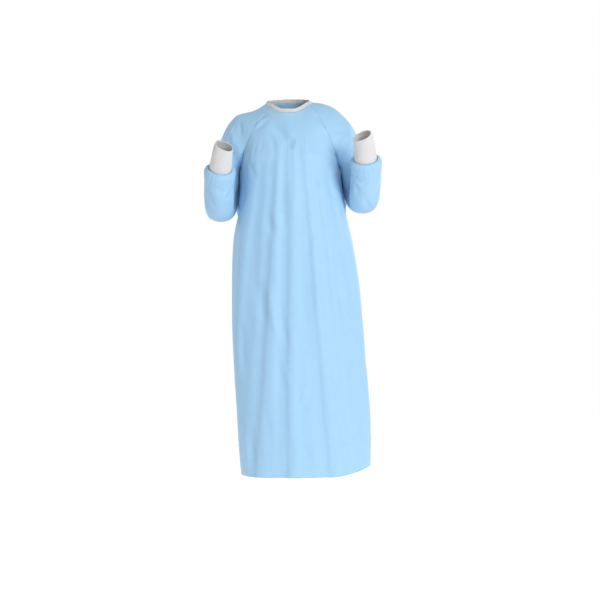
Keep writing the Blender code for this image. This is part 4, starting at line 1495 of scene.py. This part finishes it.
class GOWN_OT_cuffs(bpy.types.Operator):
    """Makes the two ribbed knit cuffs, each folded over at its open end"""

    bl_idname = "gown.make_cuffs"
    bl_label = "Knit cuffs"

    def execute(self, context):
        sizes = context.scene.gown_sizes
        form = finished_form(context)
        for name, arm in ARMS.items():
            rows = cuff_rows(form.paths[name], arm, sizes.rib_count, sizes.rib_depth)
            points = as_array(rows)
            flat = flat_map(points)
            outward = np.array([[tuple(p - arm_middle(form, name, p)) for p in row] for row in rows])
            bm = mesh_from_grid(points, flat, outward, weld=True)
            obj = piece_from(f"gown_cuff_{name}", bm, material_called("white knit"))
            add_wall(obj, CUFF_WALL)
            declare_sheet(obj, f"cuff_{name}", flat_size(flat))
        return {"FINISHED"}


def cuff_rows(path, arm, rib_count, rib_depth):
    """A cuff's rings from inside the sleeve's end to its own open end, with its ribs."""
    share, length = sleeve_length_share(path)
    start = share * (1 - CUFF_TUCK / length)
    columns = rib_count * RIB_COLUMNS // 2 * 2
    rows = []
    for i in range(CUFF_ROWS + 1):
        at = i / CUFF_ROWS
        wide = CUFF_BASE[0] + (CUFF_TOP[0] - CUFF_BASE[0]) * at
        deep = CUFF_BASE[1] + (CUFF_TOP[1] - CUFF_BASE[1]) * at
        fold = FOLD_IN * math.exp(-(((1 - at) / 0.05) ** 2))
        waist = -BASE_IN * math.exp(-((at / 0.10) ** 2)) - WAIST_IN * math.sin(math.pi * at)
        section = arm_section(arm, path, min(start + (1 - start) * at, 1.0), share)
        row = []
        for c, point in enumerate(tube_ring(*section, wide + waist - fold, deep + waist - fold, columns // 2)):
            turn = c / columns * rib_count * 2 * math.pi
            sway = 0.25 * math.sin(at * 5 + c / columns * 12)
            rib = 0.5 + 0.5 * math.cos(turn + sway * at)
            out = (point - section[0]).normalized()
            slack = KNIT_SLACK * noise.noise(point / KNIT_SLACK_ACROSS + Vector((4.4, 0.2, arm.side)))
            row.append(point + out * (slack - rib_depth * (1 - rib) ** 1.5))
        row[-1] = row[0]
        rows.append(row)
    return rows


def arm_middle(form, name, point):
    """The nearest point of an arm's middle line."""
    return min(form.paths[name][:: ARM_STEPS // 60], key=lambda p: (p - point).length_squared)


BAND_WALL = 0.0024
BAND_STAND = 0.5
BAND_STEP = 0.0022
BAND_STITCHES_UP = 0.0024
BAND_PITCH_SHARE = 0.75
SEAM_GAP = 0.0003


def neckline(form):
    """The points round the neck that the binding is sewn to, from the under panel's edge to the outer one's."""
    columns = form.panels["back"].shape[1]
    places = [("back", column, under_drop(column)) for column in range(UNDER_EDGE, columns)]
    places += [("right", column, 0.0) for column in range(2 * HALF_SLEEVE - 1, -1, -1)]
    places += [("front", column, 0.0) for column in range(1, 2 * HALF_FRONT + 1)]
    places += [("left", column, 0.0) for column in range(1, 2 * HALF_SLEEVE + 1)]
    places += [("back", column, 0.0) for column in range(1, FLAP_EDGE + 1)]
    points = [Vector(form.panels[name][0, column]) for name, column, _ in places]
    normals = [Vector(form.normals[name][0, column]) for name, column, _ in places]
    return points, normals, [drop for _, _, drop in places]


class GOWN_OT_binding(bpy.types.Operator):
    """Makes the folded strip that binds the neckline, and its line of stitches"""

    bl_idname = "gown.make_binding"
    bl_label = "Neck binding"

    def execute(self, context):
        sizes = context.scene.gown_sizes
        form = finished_form(context)
        points, normals, drops = neckline(form)
        middles, sides, rises = [], [], []
        for i, (point, normal, drop) in enumerate(zip(points, normals, drops)):
            outward = Vector((point.x, point.y, 0))
            before, after = points[max(i - 1, 0)], points[min(i + 1, len(points) - 1)]
            rise = normal.cross(after - before).normalized()
            if rise.z < 0 or rise.dot(outward) > 0.5:
                rise.negate()
            rise = (rise + UPWARD * BAND_STAND).normalized()
            along = (after - before).normalized()
            side = along.cross(rise).normalized()
            if side.dot(outward) < 0:
                side.negate()
            foot = point - normal * drop + rise * SEAM_GAP
            middles.append(foot + rise * sizes.band_height / 2 - side * BAND_WALL / 2)
            sides.append(side)
            rises.append(rise)
        length = sum((b - a).length for a, b in zip(middles, middles[1:]))

        def section(share):
            run = share * length
            pucker = 0.00022 * math.sin(run * 2 * math.pi / 0.009) + 0.00016 * math.sin(run * 2 * math.pi / 0.0231)
            height = sizes.band_height + pucker * 1.5
            return [(x + pucker * (y / height), y) for x, y in rounded_section(BAND_WALL, height, 4)]

        steps = int(length / BAND_STEP)
        fine = spaced(middles, steps)
        bm = strip_along(fine, spaced_like(middles, sides, steps), spaced_like(middles, rises, steps), section)
        obj = piece_from("neck_binding_strip", bm, material_called("cream binding"))
        add_rounding(obj)
        low = sizes.band_height / 2 - BAND_STITCHES_UP
        line = [m + side * BAND_WALL / 2 - rise * low for m, side, rise in zip(middles, sides, rises)]
        pitch = sizes.stitch_pitch * BAND_PITCH_SHARE
        sewn = stitch_piece("neck_binding_stitches", [(line, sides)], pitch, 0.0022, 0.00028, 0.0001)
        declare(sewn)
        flat = (round(length, 3), round(sizes.band_height + BAND_WALL, 4))
        declare_sheet(obj, "neck_binding", flat)
        return {"FINISHED"}


def back_place(form, share, z, lift):
    """A point over the back, at a share of the way round from the left seam, and the cloth's direction there."""
    points, normals = form.panels["back"], form.normals["back"]
    column = share * (points.shape[1] - 1)
    row = YOKE_ROWS + (TOP - z) / (TOP - HEM) * SKIRT_ROWS
    facing = on_surface(normals, row, column).normalized()
    return on_surface(points, row, column) + facing * height_over_back(column, lift), facing


TIE_Z = -0.440
TIE_ROW = YOKE_ROWS + 24
TIE_WALL = 0.0012
TIE_LIFT = 0.0030
TIE_STEP = 0.0045
TIE_SPACES = 6
KNOT_SHARE = 0.825

# A tie: its share round the back at the sewn end and at the knot, the middle of its hanging end there,
# how far that end drifts by its tip, its length, and how it curls off the cloth
Tie = namedtuple("Tie", "name node start at_knot hang drift length curl")
TIES = (
    Tie("waist_tie_flap", "tie_flap", 0.600, 0.8235, 0.8030, -0.025, 0.235, 0.010),
    Tie("waist_tie_side", "tie_side", 0.9875, 0.8265, 0.8470, 0.0175, 0.235, 0.014),
)


def strap_mesh(places, width):
    """A strap through places, each with its middle, the way across it, the cloth's direction and its own bow."""
    rows, outward = [], []
    for middle, across, facing, bow in places:
        row = []
        for i in range(TIE_SPACES + 1):
            off = (i / TIE_SPACES - 0.5) * width
            row.append(middle + across * off + facing * bow * (1 - (2 * i / TIE_SPACES - 1) ** 2))
        rows.append(row)
        outward.append([tuple(facing)] * len(row))
    points = as_array(rows)
    return mesh_from_grid(points, flat_map(points), np.array(outward))


def tie_run(form, tie, length):
    """A tie's way over the back, from its sewn end to the knot, where it is drawn together."""
    steps = int(length / TIE_STEP)
    places = []
    for i in range(steps + 1):
        at = i / steps
        slack = 0.0022 * math.sin(math.pi * at) * (1 + 0.5 * math.sin(at * 9))
        share = tie.start + (tie.at_knot - tie.start) * at
        z = TIE_Z + 0.0015 * math.sin(at * 7) - 0.003 * math.sin(math.pi * at)
        lift = TIE_LIFT * (0.5 + 0.5 * step(at / 0.25))
        middle, facing = back_place(form, share, z, lift + slack * step(at / 0.2))
        pinch = 1 - 0.62 * step((at - 0.80) / 0.20)
        across = (UPWARD - facing * facing.z).normalized()
        places.append((middle, across * pinch, facing, 0.0016 * (1 - pinch)))
    return places


def tie_hang(form, tie, side):
    """A tie's hanging end, from the knot down, turning a little as it falls."""
    steps = int(tie.length / TIE_STEP)
    places = []
    for i in range(steps + 1):
        at = i / steps
        share = tie.at_knot + (tie.hang - tie.at_knot) * step(at / 0.10) + tie.drift * step(at)
        z = TIE_Z - 0.002 - tie.length * at
        lift = TIE_LIFT + 0.0030 + tie.curl * at**2 + 0.003 * math.sin(at * 8 + side)
        middle, facing = back_place(form, share, z, lift)
        level = (UPWARD.cross(facing)).normalized()
        twist = 0.35 * math.sin(at * 4.2 + side) * at
        across = (level * math.cos(twist) + facing * math.sin(twist)).normalized()
        pinch = 0.42 + 0.58 * step(at / 0.16)
        places.append((middle, across * pinch, facing, 0.0018 * (1 - pinch) + 0.0008))
    return places


class GOWN_OT_ties(bpy.types.Operator):
    """Makes the two waist ties and the knot that joins them"""

    bl_idname = "gown.make_ties"
    bl_label = "Waist ties and knot"

    def execute(self, context):
        sizes = context.scene.gown_sizes
        form = finished_form(context)
        width = sizes.tie_width
        round_back = float(lengths_along(form.panels["back"], 1)[TIE_ROW, -1])
        for tie in TIES:
            side = 1 if tie.at_knot > tie.start else -1
            length = abs(tie.at_knot - tie.start) * round_back
            run, hang = tie_run(form, tie, length), tie_hang(form, tie, side)
            obj = piece_from(tie.name, strap_mesh(run, width), material_called("blue nonwoven"))
            add_wall(obj, TIE_WALL)
            end = piece_from(f"{tie.name}_end", strap_mesh(hang, width), material_called("blue nonwoven"))
            add_wall(end, TIE_WALL)
            declare_sheet(obj, tie.node, (round(length, 3), width))
            declare_sheet(end, None, (round(tie.length, 3), width))
        declare(make_knot(form), "tie_knot")
        return {"FINISHED"}


KNOT_SIZE = (0.0125, 0.0090)
KNOT_FILLED = 0.78
KNOT_DEPTH = 0.0022
KNOT_LIFT = 0.0052
KNOT_STEPS = 120
KNOT_STRAP = (0.0072, 0.0030)


def make_knot(form):
    """The knot of the two ties: a crumpled strap wound over itself."""
    centre, facing = back_place(form, KNOT_SHARE, TIE_Z, TIE_LIFT + KNOT_LIFT)
    across = facing.cross(UPWARD).normalized()
    up = across.cross(facing).normalized()
    line = []
    for i in range(KNOT_STEPS + 1):
        turn = 2 * math.pi * i / KNOT_STEPS
        x = (math.sin(turn) + 2 * math.sin(2 * turn)) / 3
        y = (math.cos(turn) - 2 * math.cos(2 * turn)) / 3
        z = -math.sin(3 * turn)
        flat = across * x * KNOT_SIZE[0] * KNOT_FILLED + up * y * KNOT_SIZE[1] * KNOT_FILLED
        line.append(centre + flat + facing * z * KNOT_DEPTH)
    rows = []
    for i in range(KNOT_STEPS):
        along = (line[(i + 1) % KNOT_STEPS] - line[i - 1]).normalized()
        out = (facing - along * facing.dot(along)).normalized()
        side = along.cross(out)
        swell = 1 + 0.12 * math.sin(i * 0.9)
        section = rounded_section(KNOT_STRAP[0] * swell, KNOT_STRAP[1])
        rows.append([line[i] + side * x + out * (y + 0.0004 * math.cos(x * 2400)) for x, y in section])
    rows.append(rows[0])
    return piece_from("waist_tie_knot", loft(rows), material_called("blue nonwoven"))


# The tab: its sides and its ends as shares round the back and down the yoke, its grid, and its stitches' box
TAB_SHARES = (0.520, 0.780)
TAB_ROW_SHARES = (0.35 / 8, 1.15 / 8)
TAB_ACROSS, TAB_DOWN = 26, 18
TAB_ROUNDING = 0.10
TAB_LIFT = 0.0024
TAB_WALL = 0.0014
TAB_BOX = (
    [(u, 0.12) for u in np.linspace(0.08, 0.92, 20)]
    + [(0.92, v) for v in np.linspace(0.14, 0.88, 12)]
    + [(u, 0.88) for u in np.linspace(0.90, 0.08, 20)]
    + [(0.08, v) for v in np.linspace(0.86, 0.14, 12)]
)


class GOWN_OT_fastening(bpy.types.Operator):
    """Makes the hook-and-loop tab at the back of the neck, with its stitches"""

    bl_idname = "gown.make_fastening"
    bl_label = "Neck fastening"

    def execute(self, context):
        form = finished_form(context)
        points, normals = form.panels["back"], form.normals["back"]
        rows, faces = [], []
        for r in range(TAB_DOWN + 1):
            row, facing_row = [], []
            for c in range(TAB_ACROSS + 1):
                across, down = tab_inset(c / TAB_ACROSS, r / TAB_DOWN)
                column = (TAB_SHARES[0] + (TAB_SHARES[1] - TAB_SHARES[0]) * across) * (points.shape[1] - 1)
                fine_row = (TAB_ROW_SHARES[0] + (TAB_ROW_SHARES[1] - TAB_ROW_SHARES[0]) * down) * YOKE_ROWS
                facing = on_surface(normals, fine_row, column).normalized()
                row.append(on_surface(points, fine_row, column) + facing * height_over_back(column, TAB_LIFT))
                facing_row.append(tuple(facing))
            rows.append(row)
            faces.append(facing_row)
        grid = as_array(rows)
        flat = flat_map(grid)
        bm = mesh_from_grid(grid, flat, np.array(faces))
        obj = piece_from("neck_tab_patch", bm, material_called("white loop"))
        add_wall(obj, TAB_WALL)
        line = [on_surface(grid, v * TAB_DOWN, u * TAB_ACROSS) for u, v in TAB_BOX]
        facing = [Vector(faces[round(v * TAB_DOWN)][round(u * TAB_ACROSS)]) for u, v in TAB_BOX]
        sewn = stitch_piece("neck_tab_stitches", [(line, facing)], 0.0030, 0.0021, 0.00026, 0.00012)
        declare(sewn)
        declare_sheet(obj, "neck_tab", flat_size(flat))
        return {"FINISHED"}


def tab_inset(u, v):
    """A place on the unit square, drawn in so that the square's corners are round."""
    x, y = 2 * u - 1, 2 * v - 1
    pull = 1 - TAB_ROUNDING * (abs(x) * abs(y)) ** 4
    return (x * pull + 1) / 2, (y * pull + 1) / 2


class GOWN_OT_seams(bpy.types.Operator):
    """Makes the lines of stitches along the raglan, side and sleeve seams"""

    bl_idname = "gown.make_seams"
    bl_label = "Seam stitches"

    def execute(self, context):
        sizes = context.scene.gown_sizes
        form = finished_form(context)
        runs = {"raglan": [], "side": [], "sleeve": []}
        for name in ARMS:
            runs["raglan"] += [seam_run(form, name, column, 2, slice(0, YOKE_ROWS - 1)) for column in (0, -1)]
            runs["sleeve"].append(seam_run(form, name, 0, 0, slice(YOKE_ROWS + 3, None)))
        runs["side"] += [seam_run(form, "front", column, 1, slice(YOKE_ROWS + 2, None)) for column in (0, -1)]
        for kind, lines in runs.items():
            sewn = stitch_piece(f"{kind}_seam_stitches", lines, sizes.stitch_pitch, 0.0026, 0.00026, 0.00005)
            declare(sewn)
        return {"FINISHED"}


SEAM_STITCHES_IN = 0.0022


def seam_run(form, name, column, inwards, rows):
    """A line of stitches along a panel's edge, set in from it towards a column further in, and its directions."""
    points = form.panels[name][rows]
    line = [Vector(point) for point in points[:, column]]
    if inwards:
        beside = [Vector(point) for point in points[:, inwards if column == 0 else column - inwards]]
        line = [a + (b - a).normalized() * SEAM_STITCHES_IN for a, b in zip(line, beside)]
    return line, [Vector(facing) for facing in form.normals[name][rows, column]]


# ---------------------------------------------------------------- the stage

CAMERA_PLACE = (0.036, -3.200, -0.645)
CAMERA_HALF_FRAME = 0.975
FLOOR_Z = -1.490
FLOOR_REACH = 7.0
FLOOR_GLOW = 0.40
FLOOR_ROUGHNESS = 0.6
FLOOR_FADE = (1.2, 4.2)
FLOOR_MOTTLE = 0.985
WORLD_LIGHT = 0.48

# Each soft light: where it stands, what it is turned to, its width and height, and its power
Lamp = namedtuple("Lamp", "name place target wide high power")
LAMPS = (
    Lamp("key_light", (1.90, -2.90, 0.70), (0.02, 0.0, -0.55), 1.5, 1.5, 68.0),
    Lamp("fill_light", (-2.10, -2.80, -0.20), (0.0, 0.0, -0.65), 2.4, 2.4, 7.0),
    Lamp("back_light_left", (2.30, 2.40, 0.60), (0.0, 0.0, -0.60), 1.4, 1.8, 40.0),
    Lamp("back_light_right", (-2.50, 1.60, 0.30), (0.0, 0.0, -0.60), 1.6, 2.0, 16.0),
)


class GOWN_OT_stage(bpy.types.Operator):
    """Sets the floor, the white surroundings, the soft lights and the camera"""

    bl_idname = "gown.set_stage"
    bl_label = "Stage"

    def execute(self, context):
        scene = context.scene
        scene.view_settings.view_transform = "Standard"
        bm = bmesh.new()
        bmesh.ops.create_circle(bm, cap_ends=True, radius=FLOOR_REACH, segments=96)
        bmesh.ops.translate(bm, verts=bm.verts, vec=(0, 0, FLOOR_Z))
        floor = piece_from("floor", bm, floor_material(scene.gown_colours.floor), smooth=False)
        for lamp in LAMPS:
            light = bpy.data.lights.new(lamp.name, "AREA")
            light.shape = "RECTANGLE"
            light.size, light.size_y, light.energy = lamp.wide, lamp.high, lamp.power
            obj = bpy.data.objects.new(lamp.name, light)
            obj.location = lamp.place
            obj.rotation_euler = (Vector(lamp.target) - Vector(lamp.place)).to_track_quat("-Z", "Y").to_euler()
            scene.collection.objects.link(obj)
        scene.world = white_surroundings()
        lens = bpy.data.cameras.new("camera")
        lens.angle = 2 * math.atan(CAMERA_HALF_FRAME / -CAMERA_PLACE[1])
        camera = bpy.data.objects.new("camera", lens)
        camera.location = CAMERA_PLACE
        camera.rotation_euler = (math.pi / 2, 0, 0)
        scene.collection.objects.link(camera)
        scene.camera = camera
        return {"FINISHED"}


def floor_material(colour):
    """A pale floor that fades into the white surroundings."""
    material = bpy.data.materials.new("pale floor")
    material.use_nodes = True
    tree = material.node_tree
    shader = tree.nodes["Principled BSDF"]
    shader.inputs["Roughness"].default_value = FLOOR_ROUGHNESS
    shader.inputs["Emission Color"].default_value = (1, 1, 1, 1)
    shader.inputs["Emission Strength"].default_value = FLOOR_GLOW
    place = node(tree, "ShaderNodeTexCoord", (-900, 0))
    distance = node(tree, "ShaderNodeVectorMath", (-700, 0), operation="LENGTH")
    fade = node(tree, "ShaderNodeMapRange", (-500, -160), interpolation_type="SMOOTHSTEP")
    fade.inputs["From Min"].default_value, fade.inputs["From Max"].default_value = FLOOR_FADE
    fade.inputs["To Min"].default_value, fade.inputs["To Max"].default_value = 1.0, 0.0
    mottle = node(tree, "ShaderNodeTexNoise", (-700, 260), Scale=3.0, Detail=4.0)
    tint = node(tree, "ShaderNodeValToRGB", (-480, 260))
    tint.color_ramp.elements[0].color = [c * FLOOR_MOTTLE for c in colour] + [1]
    tint.color_ramp.elements[1].color = [*colour, 1]
    link = tree.links.new
    link(place.outputs["Object"], distance.inputs[0])
    link(place.outputs["Object"], mottle.inputs["Vector"])
    link(mottle.outputs["Fac"], tint.inputs["Fac"])
    link(tint.outputs["Color"], shader.inputs["Base Color"])
    link(distance.outputs["Value"], fade.inputs["Value"])
    link(fade.outputs[0], shader.inputs["Alpha"])
    return material


def white_surroundings():
    """White all round for the camera, and a softer white for the light it gives."""
    world = bpy.data.worlds.new("white surroundings")
    world.use_nodes = True
    tree = world.node_tree
    background = tree.nodes["Background"]
    seen = node(tree, "ShaderNodeLightPath", (-700, 200))
    strength = node(tree, "ShaderNodeMapRange", (-450, 100))
    strength.inputs["To Min"].default_value = WORLD_LIGHT
    strength.inputs["To Max"].default_value = 1.0
    background.inputs["Color"].default_value = (1, 1, 1, 1)
    tree.links.new(seen.outputs["Is Camera Ray"], strength.inputs["Value"])
    tree.links.new(strength.outputs[0], background.inputs["Strength"])
    return world


# ---------------------------------------------------------------- the panel and the run


OPERATORS = (
    GOWN_OT_front,
    GOWN_OT_backs,
    GOWN_OT_sleeves,
    GOWN_OT_cuffs,
    GOWN_OT_binding,
    GOWN_OT_fastening,
    GOWN_OT_ties,
    GOWN_OT_seams,
    GOWN_OT_stage,
)


class GOWN_PT_sidebar(bpy.types.Panel):
    """Lists the gown's sizes, colours and pieces"""

    bl_idname = "GOWN_PT_sidebar"
    bl_label = "Surgical gown"
    bl_space_type = "VIEW_3D"
    bl_region_type = "UI"
    bl_category = "Gown"

    def draw(self, context):
        """Draws the sizes, the colours and a button for each operator."""
        for group in (context.scene.gown_sizes, context.scene.gown_colours):
            box = self.layout.box()
            for name in group.__annotations__:
                box.prop(group, name)
        for operator in OPERATORS:
            self.layout.operator(operator.bl_idname)


CLASSES = (GownSizes, GownColours, *OPERATORS, GOWN_PT_sidebar)


def register():
    """Adds the gown's classes and its settings."""
    for cls in CLASSES:
        bpy.utils.register_class(cls)
    bpy.types.Scene.gown_sizes = bpy.props.PointerProperty(type=GownSizes)
    bpy.types.Scene.gown_colours = bpy.props.PointerProperty(type=GownColours)


def unregister():
    """Takes them away again."""
    del bpy.types.Scene.gown_colours
    del bpy.types.Scene.gown_sizes
    for cls in reversed(CLASSES):
        bpy.utils.unregister_class(cls)


def main():
    """Makes the gown and its stage."""
    register()
    for operator in OPERATORS:
        group, name = operator.bl_idname.split(".")
        getattr(getattr(bpy.ops, group), name)()


if __name__ == "__main__":
    main()
